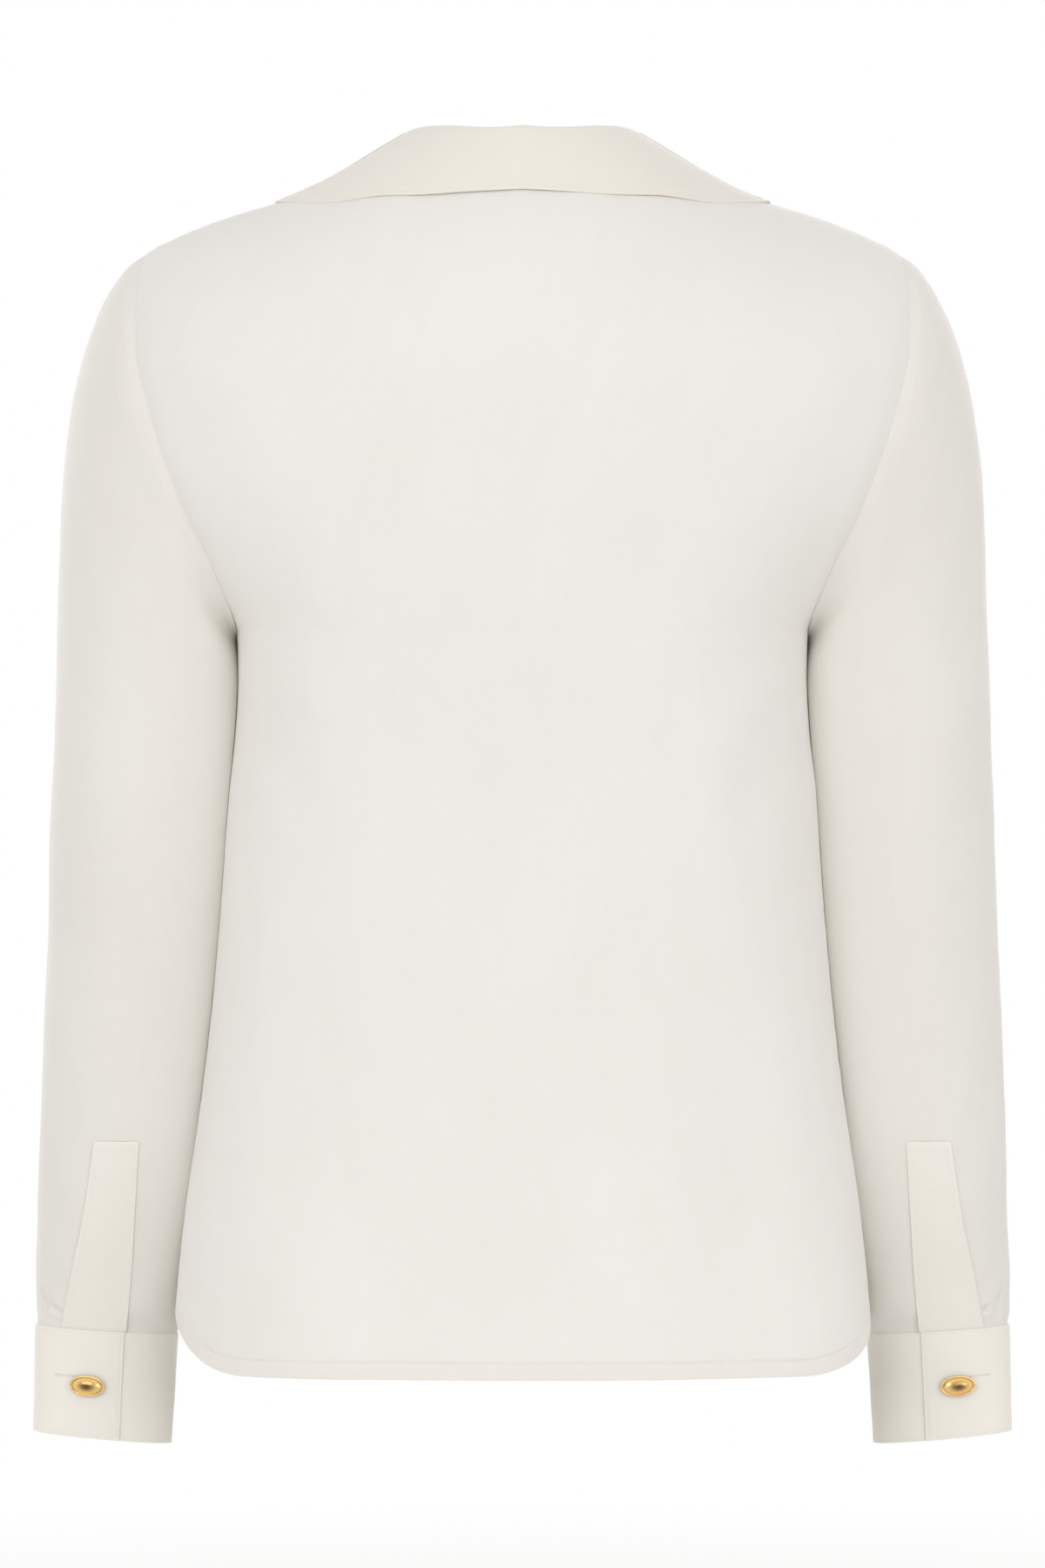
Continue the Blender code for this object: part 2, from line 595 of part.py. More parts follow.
def add_button(name, place, across, facing, scale, material, collection):
    """An oval domed button: a turned profile, narrowed across its length."""
    half = BUTTON_LENGTH / 2 * scale
    mesh = bpy.data.meshes.new(name)
    points = [(row.radius * half * MM, 0.0, row.height * scale * MM) for row in BUTTON_PROFILE]
    mesh.from_pydata(points, [(i, i + 1) for i in range(len(points) - 1)], [])
    item = add_object(name, mesh, material, collection)
    screw = item.modifiers.new("Turn", "SCREW")
    screw.steps = BUTTON_STEPS
    screw.render_steps = BUTTON_STEPS
    screw.use_merge_vertices = True
    screw.merge_threshold = MERGE * MM
    across = np.asarray(across) / np.linalg.norm(across)
    facing = np.asarray(facing) - np.dot(facing, across) * across
    facing /= np.linalg.norm(facing)
    beside = np.cross(facing, across)
    frame = np.eye(4)
    frame[:3, 0] = across
    frame[:3, 1] = beside * BUTTON_WIDTH / BUTTON_LENGTH
    frame[:3, 2] = facing
    frame[:3, 3] = np.asarray(place) * MM
    item.matrix_world = frame.T.tolist()
    return item


def from_axis(axis_x, axis_y):
    """Outward rule for a piece around an upright axis."""
    def outward(centre):
        return centre * [1.0, 1.0, 0.0] - [axis_x, axis_y, 0.0]
    return outward


def build_body(collection):
    """The back and the front, one panel each."""
    silk = finish("silk_back", SILK, SILK_ROUGHNESS)
    silk_front = finish("silk_front", SILK, SILK_ROUGHNESS)
    add_cloth("back", half_panel(False), from_axis(0.0, 0.0), silk, collection, mirrored=True)
    add_cloth("front", half_panel(True), from_axis(0.0, 0.0), silk_front, collection, mirrored=True)


def fall_outward(centre):
    """Outward rule for the collar: its outermost faces, the fall, look up and away."""
    away = centre * [1.0, 1.0, 0.0] + [0.0, 0.0, 30.0]
    return away * (np.abs(centre[:, :1]) > NECK_HALF_WIDTH)


def build_collar(collection):
    """The collar, in one piece with its stand."""
    silk = finish("silk_collar", SILK_DOUBLE, SILK_ROUGHNESS)
    add_cloth("collar", collar_grid(), fall_outward, silk, collection, mirrored=True)


def build_front_placket(collection):
    """The placket band below the V, with three buttons."""
    silk = finish("silk_front_placket", SILK_DOUBLE, SILK_ROUGHNESS)
    add_cloth("front_placket", front_placket_grid(), lambda c: c * 0 - [0, 1, 0], silk, collection)
    gold = finish("gold_front_buttons", GOLD, GOLD_ROUGHNESS, 1.0)
    for number, z in enumerate(FRONT_BUTTON_Z, start=1):
        drop = -drop_to(0.0, z)
        facing = body_normal(0.0, drop)
        place = body(0.0, drop) + (LIFT + WALL) * facing
        add_button(f"front_button_{number}", place, (1, 0, 0), facing, FRONT_BUTTON_SCALE, gold, collection)


def build_arm(side, collection):
    """One sleeve with its placket, cuff and cuff button; the right arm mirrors the left."""
    flip = np.array([1.0 if side == "left" else -1.0, 1.0, 1.0])
    axis = from_axis(ARM_AXIS_X * flip[0], ARM_AXIS_Y)
    sleeve_silk = finish(f"silk_sleeve_{side}", SILK, SILK_ROUGHNESS)
    placket_silk = finish(f"silk_sleeve_placket_{side}", SILK_DOUBLE, SILK_ROUGHNESS)
    cuff_silk = finish(f"silk_cuff_{side}", SILK_DOUBLE, SILK_ROUGHNESS)
    gold = finish(f"gold_cuff_button_{side}", GOLD, GOLD_ROUGHNESS, 1.0)
    add_cloth(f"sleeve_{side}", sleeve_grid() * flip, axis, sleeve_silk, collection)
    add_cloth(f"sleeve_placket_{side}", sleeve_placket_grid() * flip, axis, placket_silk, collection)
    add_cloth(f"cuff_{side}", cuff_grid() * flip, axis, cuff_silk, collection)
    turn = CUFF_BUTTON_TURN + 2 * np.pi
    across = cuff(CUFF_BUTTON_SHARE, turn - 0.05) - cuff(CUFF_BUTTON_SHARE, turn + 0.05)
    down = cuff(CUFF_BUTTON_SHARE + 0.05, turn) - cuff(CUFF_BUTTON_SHARE - 0.05, turn)
    facing = unit(np.cross(across, down))
    place = cuff(CUFF_BUTTON_SHARE, turn)
    add_button(f"cuff_button_{side}", place * flip, across * flip, facing * flip, 1.0, gold, collection)


def main():
    """Build the shirt, sub-part by sub-part."""
    clear_scene()
    shirt = bpy.data.collections.new("long_sleeve_polo_shirt")
    bpy.context.scene.collection.children.link(shirt)
    build_body(shirt)
    build_collar(shirt)
    build_front_placket(shirt)
    build_arm("left", shirt)
    build_arm("right", shirt)


main()
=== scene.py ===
"""Long-sleeve polo shirt of cream silk crepe, empty inside and filled out as if worn.

The shirt stands in its own frame: +Z is up, the front faces -Y and the wearer's left is +X, with
the origin between the shoulders at the base of the neck.  Sizes are in millimetres and turn into
metres when a mesh is made.  Two forms carry everything: the body, read by x and by the drop over
the shoulder, and the arm, read by level and by turn around it.  Each sewn piece is a fine sheet on
its form, moved along the form's normal by folds, seams and stitching, and thickened inwards.
"""

import logging
from dataclasses import dataclass, field
from enum import Enum

import bpy
import numpy as np
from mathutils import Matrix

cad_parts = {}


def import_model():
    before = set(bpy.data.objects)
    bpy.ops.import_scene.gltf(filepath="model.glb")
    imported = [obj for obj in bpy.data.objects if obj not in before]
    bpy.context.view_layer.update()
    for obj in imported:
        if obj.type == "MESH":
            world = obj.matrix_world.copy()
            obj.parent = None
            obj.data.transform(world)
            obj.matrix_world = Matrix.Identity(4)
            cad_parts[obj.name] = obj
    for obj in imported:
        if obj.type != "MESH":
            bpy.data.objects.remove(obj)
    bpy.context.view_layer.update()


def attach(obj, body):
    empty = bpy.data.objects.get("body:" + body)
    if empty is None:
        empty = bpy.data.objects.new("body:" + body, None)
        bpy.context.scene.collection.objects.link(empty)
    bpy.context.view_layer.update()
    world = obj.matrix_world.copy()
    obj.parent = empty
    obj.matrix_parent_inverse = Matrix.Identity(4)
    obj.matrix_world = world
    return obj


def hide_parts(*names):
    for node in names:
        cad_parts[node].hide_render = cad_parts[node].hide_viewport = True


Array = np.ndarray
MM = 0.001
SILK_WALL = 0.5             # the shell of a single layer of cloth
DOUBLE_WALL = 1.1           # collar and cuffs, two layers with a stiffener
BAND_WALL = 0.7             # placket bands
BAND_LIFT = 0.9             # their outer face above the panel's face
SOFT_EDGE = 0.45            # rounding of the double cloth's edges
BAND_EDGE = 0.3             # rounding of the bands' edges
SHARP_TURN = 50.0           # edges that turn by more than this, in degrees, are rounded
HOLE_LIFT = 0.05            # the buttonholes' threads above the cloth
SLOPE_STEP = 0.5            # half the span over which slopes of the body are taken
TURN_STEP = 0.01            # the same around the arm, in radians
LEVEL_STEP = 0.05           # and down the arm, in levels
SEARCH_ROUNDS = 30          # rounds after which a search for a place has settled
FAR = 1e3                   # further from an edge than any point of the cloth
ARMHOLE_MIDDLE = (185.0, 0.0, -145.0)   # the point that the left armhole's edge runs round
ACROSS = np.array([1.0, 0.0, 0.0])      # towards the wearer's left
UPWARD = np.array([0.0, 0.0, 1.0])
LOG = logging.getLogger("polo_shirt")


class Panel(Enum):
    """The two body panels, each with the sign of its side along Y."""

    BACK = 1.0
    FRONT = -1.0


class Side(Enum):
    """The wearer's arms, each with the sign of its side along X."""

    LEFT = 1.0
    RIGHT = -1.0

    @property
    def word(self) -> str:
        """The side in lower case, as the names of pieces end."""
        return self.name.lower()


# ------------------------------------------------------------------ numbers


def ease(t: Array) -> Array:
    """Rise smoothly from 0 to 1: t squared times (3 - 2t)."""
    t = np.clip(t, 0.0, 1.0)
    return t * t * (3 - 2 * t)


def bump(distance: Array, width: float) -> Array:
    """Bell of height 1: the exponential of minus the squared share of the width."""
    return np.exp(-(np.asarray(distance) / width) ** 2)


def unit(vector: Array) -> Array:
    """Scale vectors to length 1."""
    return vector / np.maximum(np.linalg.norm(vector, axis=-1, keepdims=True), 1e-12)


def run_length(points: Array, axis: int) -> Array:
    """Distance travelled along one axis of a grid of points, from its first row or column.

    Args:
        points: points in millimetres, rows by columns.
        axis: the axis to travel along.

    Returns:
        Lengths from the start, in the shape of the grid.
    """
    steps = np.linalg.norm(np.diff(points, axis=axis), axis=-1)
    start = np.zeros_like(np.take(steps, [0], axis=axis))
    return np.concatenate([start, np.cumsum(steps, axis=axis)], axis=axis)


def path_read(at: Array, length: Array, points: Array) -> Array:
    """Read a path's points at lengths along it, in straight steps between its knots."""
    return np.stack([np.interp(at, length, points[:, axis]) for axis in range(3)], axis=-1)


def nearest(values: Array, at: Array | float) -> int:
    """Place in a row of values of the one that lies nearest to a number."""
    return int(np.argmin(np.abs(values - at)))


def near(*distances: float) -> Array:
    """Distances from an edge, in millimetres, where extra grid lines lie."""
    return np.array(distances, float)


def span(low: Array | float, high: Array | float, along: Array, inset: Array | float = 0.0) -> Array:
    """Place in a span: its middle, plus half its length less an inset, times -1 to 1."""
    return (high + low) / 2 + ((high - low) / 2 - inset) * along


def grid_normal(points: Array) -> Array:
    """Unit normals of a grid: the cross product of its row and column slopes."""
    return unit(np.cross(np.gradient(points, axis=0), np.gradient(points, axis=1)))


def ripple(wave: float, seed: int, *axes: Array) -> Array:
    """Soft irregular waves between about -1 and 1: a sum of seven sines in seeded directions.

    Args:
        wave: middling length of a wave.
        seed: seed of the directions and the starts.
        *axes: places along each axis.

    Returns:
        Heights of the waves.
    """
    pick = np.random.default_rng(seed)
    place = np.stack(np.broadcast_arrays(*axes), axis=-1)
    total = np.zeros(place.shape[:-1])
    for _ in range(7):
        way = unit(pick.normal(size=len(axes)))
        pitch = 2 * np.pi / (wave * pick.uniform(0.75, 1.5))
        total += np.sin(pitch * place @ way + pick.uniform(0.0, 2 * np.pi))
    return total / 4.0


@dataclass(frozen=True)
class Ramp:
    """Soft step: 0 at its start and 1 a run further on, or further back where the run is negative."""

    start: float
    run: float

    def at(self, place: Array | float) -> Array:
        """Share reached at a place: ease of its distance from the start over the run."""
        return ease((place - self.start) / self.run)


@dataclass(frozen=True)
class Bell:
    """A ridge at some distance from an edge, or a groove where its height is negative."""

    place: float
    width: float
    height: float

    def over(self, distance: Array, share: Array | float = 1.0) -> Array:
        """Height at distances from the edge, each point taking its share of it."""
        return self.height * share * bump(distance - self.place, self.width)


@dataclass(frozen=True)
class Wave:
    """Soft irregular waves of one length and height, in millimetres."""

    length: float
    height: float

    def over(self, seed: int, share: Array | float, *axes: Array) -> Array:
        """Height of the waves drawn from a seed, each point taking its share of it."""
        return self.height * share * ripple(self.length, seed, *axes)


@dataclass(frozen=True)
class Table:
    """Rows of named columns, read along a driving column as curves without overshoot."""

    columns: str
    rows: tuple[tuple[float, ...], ...]

    def read(self, column: str, at: Array | float) -> Array:
        """Read one column as a monotone cubic of the first one.

        Args:
            column: name of the column.
            at: positions along the first column.

        Returns:
            The curve's values there.
        """
        data = np.array(self.rows)
        knots, heights = data[:, 0], data[:, self.columns.split().index(column)]
        if knots[0] > knots[-1]:
            knots, heights = knots[::-1], heights[::-1]
        steps = np.diff(knots)
        rises = np.diff(heights) / steps
        pairs = rises[:-1] * rises[1:]
        inner = np.where(pairs > 0, 2 * pairs / np.where(pairs > 0, rises[:-1] + rises[1:], 1.0), 0.0)
        slopes = np.concatenate([rises[:1], inner, rises[-1:]])
        at = np.clip(np.asarray(at, float), knots[0], knots[-1])
        cell = np.clip(np.searchsorted(knots, at) - 1, 0, len(steps) - 1)
        t = (at - knots[cell]) / steps[cell]
        return (heights[cell] * (1 + 2 * t) * (1 - t) ** 2
                + slopes[cell] * steps[cell] * t * (1 - t) ** 2
                + heights[cell + 1] * t ** 2 * (3 - 2 * t)
                + slopes[cell + 1] * steps[cell] * t ** 2 * (t - 1))


FOLD_FADE = Ramp(0.0, 0.35)     # over the first and the last part of a fold's length
FOLD_DIP = 0.4                  # depth of the dips beside a fold, as a share of its height


@dataclass(frozen=True)
class Fold:
    """One soft ridge, or trough where the depth is negative, along a bowed line."""

    start: tuple[float, float]
    end: tuple[float, float]
    width: float
    depth: float
    bow: float = 0.0

    def height(self, a: Array, b: Array) -> Array:
        """Height over a surface: a bell across the line with a shallow dip beside it, fading at its ends.

        Args:
            a: places along the first axis.
            b: places along the second axis.

        Returns:
            Heights, in the shape of the places.
        """
        start, run = np.array(self.start), np.array(self.end) - np.array(self.start)
        long = np.hypot(*run)
        share = ((a - start[0]) * run[0] + (b - start[1]) * run[1]) / long ** 2
        aside = ((b - start[1]) * run[0] - (a - start[0]) * run[1]) / long
        aside = aside - self.bow * np.sin(np.pi * np.clip(share, 0, 1))
        fade = FOLD_FADE.at(share) * FOLD_FADE.at(1 - share)
        dip = bump(np.abs(aside) - 2 * self.width, self.width)
        return self.depth * fade * (bump(aside, self.width) - FOLD_DIP * dip)

    def laid_out(self, radius: float, share: float) -> "Fold":
        """The fold with its turns laid out as lengths around a radius, at a share of its depth."""
        start, end = ((turn * radius, z) for turn, z in (self.start, self.end))
        return Fold(start, end, self.width, self.depth * share, self.bow)


def fold_rows(*rows: tuple[float, ...]) -> tuple[Fold, ...]:
    """Make folds from rows of start, end, width, depth and bow."""
    return tuple(Fold(row[:2], row[2:4], *row[4:]) for row in rows)


def folded(folds: tuple[Fold, ...], a: Array, b: Array) -> Array:
    """Sum of the heights of several folds."""
    return sum((fold.height(a, b) for fold in folds), np.zeros(np.broadcast(a, b).shape))


# -------------------------------------------------------------- the two forms


@dataclass(frozen=True)
class BodyForm:
    """The outer form of the body: oval sections under a shoulder line that rolls over to both sides."""

    squareness: float = 2.4
    neck_half: float = 72.0
    neck_back: float = 60.0
    v_point: float = -146.0
    v_slit: float = 0.3
    v_curve: float = 1.15
    underarm: float = -245.0
    side_hem: float = -619.0
    hem: float = -649.3
    hem_corner: float = 41.0
    hem_round: float = 2.2
    armhole_share: dict[Panel, float] = field(default_factory=lambda: {Panel.BACK: 0.52, Panel.FRONT: 0.57})
    armhole_bend: float = 150.0
    armhole_guess: float = 190.0
    trace_steps: int = 500
    ridge: Table = Table("x z curl", (
        (0, 26, 115), (40, 21.5, 115), (72, 14, 114), (105, 1, 109), (137, -9.3, 101), (165, -17.9, 93),
        (185, -25.6, 86), (200, -32.8, 81), (214, -41.5, 77), (232, -54, 75)))
    oval_rows: Table = Table("z half back front", (
        (30, 229, 98, 84), (-38, 230.2, 101, 92), (-64, 232.8, 103, 96), (-92, 232.2, 106, 104),
        (-116, 226.8, 108.5, 110), (-142, 218.6, 110.5, 116), (-163, 208.9, 111.5, 120),
        (-187, 194.1, 112, 123.5), (-206, 179.5, 112, 125), (-228, 165, 112, 126.5),
        (-236, 160.4, 112, 126.8), (-245, 157.2, 112, 127), (-270, 156.8, 112, 127),
        (-296, 158, 111.5, 126.5), (-336, 161.8, 110.5, 125), (-416, 167.6, 109.5, 122.5),
        (-495, 176, 110, 121.5), (-568, 186.3, 111, 122.5), (-619, 191, 112, 123.5),
        (-660, 192.5, 112.5, 124)))

    def half(self, z: Array) -> Array:
        """Half width at a height."""
        return self.oval_rows.read("half", z)

    def depth(self, z: Array, front: Array) -> Array:
        """Depth from the shoulder plane to the front or the back at a height."""
        return np.where(front, self.oval_rows.read("front", z), self.oval_rows.read("back", z))

    def oval(self, share: Array) -> Array:
        """Depth share at a share of the half width: (1 - s^n)^(1/n)."""
        return (1 - np.clip(share, 0, 1) ** self.squareness) ** (1 / self.squareness)

    def crest(self, x: Array) -> tuple[Array, Array]:
        """Height and roll radius of the shoulder's top line."""
        return self.ridge.read("z", np.abs(x)), self.ridge.read("curl", np.abs(x))

    def fall(self, x: Array, drop: Array) -> tuple[Array, Array]:
        """Height and turn after a drop: a quarter circle over the shoulder, then straight down.

        Args:
            x: places across the body.
            drop: lengths down from the shoulder's top line.

        Returns:
            Heights, and turns in radians up to a quarter circle.
        """
        top, curl = self.crest(x)
        arc = np.abs(drop)
        turn = np.minimum(arc / curl, np.pi / 2)
        return top - curl * (1 - np.cos(turn)) - np.maximum(arc - curl * np.pi / 2, 0), turn

    def drop(self, x: Array, z: Array) -> Array:
        """Drop without its sign that reaches a height, the inverse of fall.

        Args:
            x: places across the body.
            z: heights.

        Returns:
            Lengths down from the top line.
        """
        top, curl = self.crest(x)
        fall = np.maximum(top - z, 0)
        return curl * np.arccos(1 - np.minimum(fall / curl, 1)) + np.maximum(fall - curl, 0)

    def point(self, x: Array, drop: Array) -> Array:
        """Points of the outer face: back drops positive, front drops negative.

        Args:
            x: places across the body.
            drop: lengths down from the shoulder's top line, with the panel's sign.

        Returns:
            Points in millimetres.
        """
        x, drop = np.broadcast_arrays(np.asarray(x, float), np.asarray(drop, float))
        z, turn = self.fall(x, drop)
        depth = self.depth(z, drop < 0) * np.sin(turn) * self.oval(np.abs(x) / self.half(z))
        return np.stack([x, np.sign(drop) * depth, z], axis=-1)

    def normal(self, x: Array, drop: Array) -> Array:
        """Outward normals, from the slopes along x and along the drop.

        Args:
            x: places across the body.
            drop: lengths down from the shoulder's top line, with the panel's sign.

        Returns:
            Unit vectors.
        """
        step = SLOPE_STEP
        drop = np.where(np.abs(drop) < step, np.where(drop < 0, -step, step), drop)
        across = self.point(x + step, drop) - self.point(x - step, drop)
        return unit(np.cross(across, self.point(x, drop + step) - self.point(x, drop - step)))

    def side(self, y: Array, z: Array) -> Array:
        """Half width at depth y and height z."""
        return self.half(z) * self.oval(np.abs(y) / self.depth(z, y < 0))

    @property
    def underarm_drop(self) -> float:
        """Drop at the underarm."""
        return float(self.drop(self.half(self.underarm), self.underarm))

    def armhole(self, drop: Array, panel: Panel) -> Array:
        """Half width along the armhole: the place where the depth share falls to the armhole's own.

        Args:
            drop: lengths down from the shoulder's top line.
            panel: the back or the front.

        Returns:
            Places across the body.
        """
        low = self.armhole_share[Panel.BACK]
        share = low + (self.armhole_share[panel] - low) * ease(drop / self.armhole_bend)
        rest = np.clip((drop - self.armhole_bend) / (self.underarm_drop - self.armhole_bend), 0, 1)
        share = share * np.sqrt(1 - rest ** 2)
        x = np.full(np.shape(drop), self.armhole_guess)
        for _ in range(SEARCH_ROUNDS):
            x = self.half(self.fall(x, drop)[0]) * self.oval(share)
        return x

    def armhole_points(self, panel: Panel, drops: Array) -> Array:
        """Points of one side of the armhole at drops from the shoulder."""
        return self.point(self.armhole(drops, panel), panel.value * np.maximum(drops, 1e-6))

    def armhole_drops(self, panel: Panel, shares: Array) -> Array:
        """Drops at shares of the armhole's length, from the shoulder to the underarm.

        Args:
            panel: the back or the front.
            shares: shares of the armhole's length.

        Returns:
            Lengths down from the shoulder's top line.
        """
        drops = np.linspace(0, self.underarm_drop, self.trace_steps)
        length = run_length(self.armhole_points(panel, drops), 0)
        return np.interp(length[-1] * shares, length, drops)

    def armhole_side(self, panel: Panel, shares: Array) -> Array:
        """Points of one side of the armhole at shares of its length."""
        return self.armhole_points(panel, self.armhole_drops(panel, shares))

    def hem_line(self, x: Array) -> Array:
        """Height of the hem: straight, with a rounded corner up to the side seam.

        Args:
            x: places across the body.

        Returns:
            Heights.
        """
        side = self.half(self.side_hem)
        share = np.clip((np.abs(x) - side + self.hem_corner) / self.hem_corner, 0, 1)
        rise = 1 - (1 - share ** self.hem_round) ** (1 / self.hem_round)
        return self.hem + (self.side_hem - self.hem) * rise

    def neckline(self, share: Array, panel: Panel) -> tuple[Array, Array]:
        """Half width and drop of the neckline, from the centre to the neck point.

        Args:
            share: shares of the way from the centre to the neck point.
            panel: the back or the front.

        Returns:
            Places across the body, and drops without a sign.
        """
        if panel is Panel.FRONT:
            x = self.v_slit + (self.neck_half - self.v_slit) * share
            return x, self.drop(0.0, self.v_point) * (1 - share) ** self.v_curve
        x = self.neck_half * np.sin(share * np.pi / 2)
        y = self.neck_back * np.cos(share * np.pi / 2)
        drop = np.full(np.shape(share), self.neck_back)
        for _ in range(SEARCH_ROUNDS):
            z = self.fall(x, drop)[0]
            reach = self.depth(z, np.False_) * self.oval(x / self.half(z))
            drop = self.crest(x)[1] * np.arcsin(np.clip(y / reach, 0, 1))
        return x, drop


@dataclass
class ArmForm:
    """The outer form of the left arm: ovals that start at the armhole and hang beside the body."""

    # Levels count down the arm, from 0 at the armhole to 16 at the cuff, and turns are in radians.
    body: BodyForm
    gap: float = 0.02
    closeness: float = 0.05
    softness: float = 0.04
    tuck: Bell = Bell(-320.0, 135.0, 6.0)
    tuck_start: Ramp = Ramp(1.75, 0.6)
    tuck_end: Ramp = Ramp(3.9, -0.6)
    press_above: float = 5.0
    press_reach: float = 9.0
    press_level: Ramp = Ramp(0.0, 1.5)
    corner_reach: float = 1.3
    loop_steps: int = 241
    off_armhole: tuple[float, float, float] = (0.964, 0.0, -0.266)
    rows: Table = Table("level under_x under_z over_x over_z depth forward square seam", (
        (0, 158, -245.6, 210.3, -39.2, 116, 0, 2, 1), (1, 157.8, -246.4, 217.6, -44.2, 116, 0, 2, 0.93),
        (2, 157.6, -247.4, 226.6, -55.5, 116.5, -1, 2, 0.74),
        (3, 157.4, -248.6, 235.6, -73, 117, -3.5, 2, 0.5),
        (4, 157.2, -250.2, 243.6, -96.5, 118, -7.5, 2.1, 0.27),
        (5, 156.8, -252.6, 250.4, -127, 119, -12.5, 2.4, 0.1),
        (6, 156.2, -256, 254.8, -165, 120, -20, 3.4, 0.02), (7, 155.4, -262, 257.3, -210, 120, -26.5, 5, 0),
        (8, 154.5, -275, 258.8, -262, 119, -32, 6.5, 0), (9, 156, -312, 260.6, -312, 117, -35, 7.5, 0),
        (10, 160, -370, 262.7, -370, 112, -36.5, 8, 0), (11, 165.5, -430, 264.6, -430, 106, -40, 8, 0),
        (12, 172, -485, 267, -485, 101, -43, 8, 0), (13, 177.5, -530, 268.8, -530, 95, -46.5, 7.5, 0),
        (14, 182.5, -568, 270, -568, 85, -50, 6, 0), (15, 187.5, -602, 271, -600, 70, -53, 4.2, 0),
        (16, 192, -634, 270.8, -629, 55.5, -55, 2, 0)))
    loop: Array = field(init=False, repr=False)

    def __post_init__(self) -> None:
        """Trace the armhole once: down the back from the shoulder, and up the front."""
        shares = np.linspace(0, 1, self.loop_steps)
        back = self.body.armhole_side(Panel.BACK, shares)
        self.loop = np.concatenate([back, self.body.armhole_side(Panel.FRONT, shares)[-2::-1]])

    def armhole(self, turn: Array) -> Array:
        """Points of the armhole: turn 0 shoulder, a quarter back, half the underarm.

        Args:
            turn: turns around the arm, from its top over its back.

        Returns:
            Points in millimetres.
        """
        share = np.linspace(0, 2 * np.pi, len(self.loop))
        turn = np.mod(turn, 2 * np.pi)
        return path_read(turn, share, self.loop)

    def ring(self, level: Array, turn: Array) -> Array:
        """Plain oval of a section, squarer on the half beside the body and tucked in behind its side.

        Args:
            level: levels, 0 at the armhole and 16 at the cuff.
            turn: turns around the arm, from its top over its back.

        Returns:
            Points in millimetres.
        """
        row = {name: self.rows.read(name, level) for name in self.rows.columns.split()[1:]}
        power = np.where(np.cos(turn) < 0, row["square"], 2.0)
        out = (np.abs(np.cos(turn)) ** power + np.abs(np.sin(turn)) ** power) ** (-1 / power)
        along = out * np.cos(turn)
        x = span(row["under_x"], row["over_x"], along)
        z = span(row["under_z"], row["over_z"], along)
        around = np.mod(turn, 2 * np.pi)
        tuck = self.tuck.over(z) * self.tuck_start.at(around) * self.tuck_end.at(around)
        return np.stack([x, row["forward"] + row["depth"] / 2 * out * np.sin(turn) - tuck, z], axis=-1)

    def point(self, level: Array, turn: Array) -> Array:
        """Points of the outer face: the oval, drawn to the armhole near it and pressed by the body.

        Args:
            level: levels, 0 at the armhole and 16 at the cuff.
            turn: turns around the arm, from its top over its back.

        Returns:
            Points in millimetres.
        """
        level, turn = np.broadcast_arrays(np.asarray(level, float), np.asarray(turn, float))
        shift = self.gap * np.array(self.off_armhole)
        away = self.armhole(turn) + shift - self.ring(np.zeros_like(level), turn)
        points = self.ring(level, turn) + self.rows.read("seam", level)[..., None] * away
        wall = self.body.side(points[..., 1], points[..., 2]) + self.closeness
        over = points[..., 0] - wall
        pressed = wall + (over + np.sqrt(over ** 2 + 4 * self.softness ** 2)) / 2
        below = Ramp(self.body.underarm + self.press_above, -self.press_reach).at(points[..., 2])
        below = below * self.press_level.at(level)
        points[..., 0] += below * (pressed - points[..., 0])
        return points

    def corner(self, level: Array, plain: float) -> Array:
        """Turn at which each level's oval meets the body on its back, or a plain turn where it doesn't.

        Args:
            level: levels, 0 at the armhole and 16 at the cuff.
            plain: the turn where they don't meet.

        Returns:
            One turn for each level.
        """
        turn = np.linspace(np.pi - self.corner_reach, np.pi, 181)
        ring = self.ring(level[:, None], turn[None, :])
        over = ring[..., 0] - self.body.side(ring[..., 1], ring[..., 2]) - self.closeness
        after = np.argmax(over < 0, axis=1)
        high, low = (over[np.arange(len(level)), np.maximum(after - step, 0)] for step in (1, 0))
        met = turn[after] - (turn[1] - turn[0]) * np.clip(low / np.minimum(low - high, -1e-6), 0, 1)
        return np.where(after > 0, met, plain)

    def normal(self, level: Array, turn: Array) -> Array:
        """Outward normals, from the slopes around and down the arm.

        Args:
            level: levels down the arm.
            turn: turns around it, in radians.

        Returns:
            Unit vectors.
        """
        around = self.point(level, turn + TURN_STEP) - self.point(level, turn - TURN_STEP)
        down = self.point(level + LEVEL_STEP, turn) - self.point(level - LEVEL_STEP, turn)
        return unit(np.cross(down, around))


# ------------------------------------------------------------------- meshes


def add_item(name: str, data: bpy.types.ID) -> bpy.types.Object:
    """Put a mesh, a lamp or a camera into the scene as an object at the origin.

    Args:
        name: name of the object.
        data: the mesh, lamp or camera.

    Returns:
        The new object.
    """
    item = bpy.data.objects.new(name, data)
    bpy.context.scene.collection.objects.link(item)
    return item


def new_mesh(name: str, points: Array, faces: list[list[int]]) -> bpy.types.Mesh:
    """Make a smooth mesh.

    Args:
        name: name of the mesh.
        points: points in millimetres, in a grid or a row.
        faces: corners of each face.

    Returns:
        The mesh, in metres.
    """
    mesh = bpy.data.meshes.new(name)
    mesh.from_pydata((points.reshape(-1, 3) * MM).tolist(), [], faces)
    mesh.shade_smooth()
    return mesh


def mark(mesh: bpy.types.Mesh, name: str, kind: str, domain: str, values: Array) -> None:
    """Store one value for each point or edge of a mesh as a named attribute."""
    mesh.attributes.new(name, kind, domain).data.foreach_set("value", values.ravel())


def quad_faces(low: Array, high: Array, high_beyond: Array, low_beyond: Array) -> Array:
    """Corners of quads: one row of four for each place in four equal grids of point numbers."""
    return np.stack([low, high, high_beyond, low_beyond], axis=-1).reshape(-1, 4)


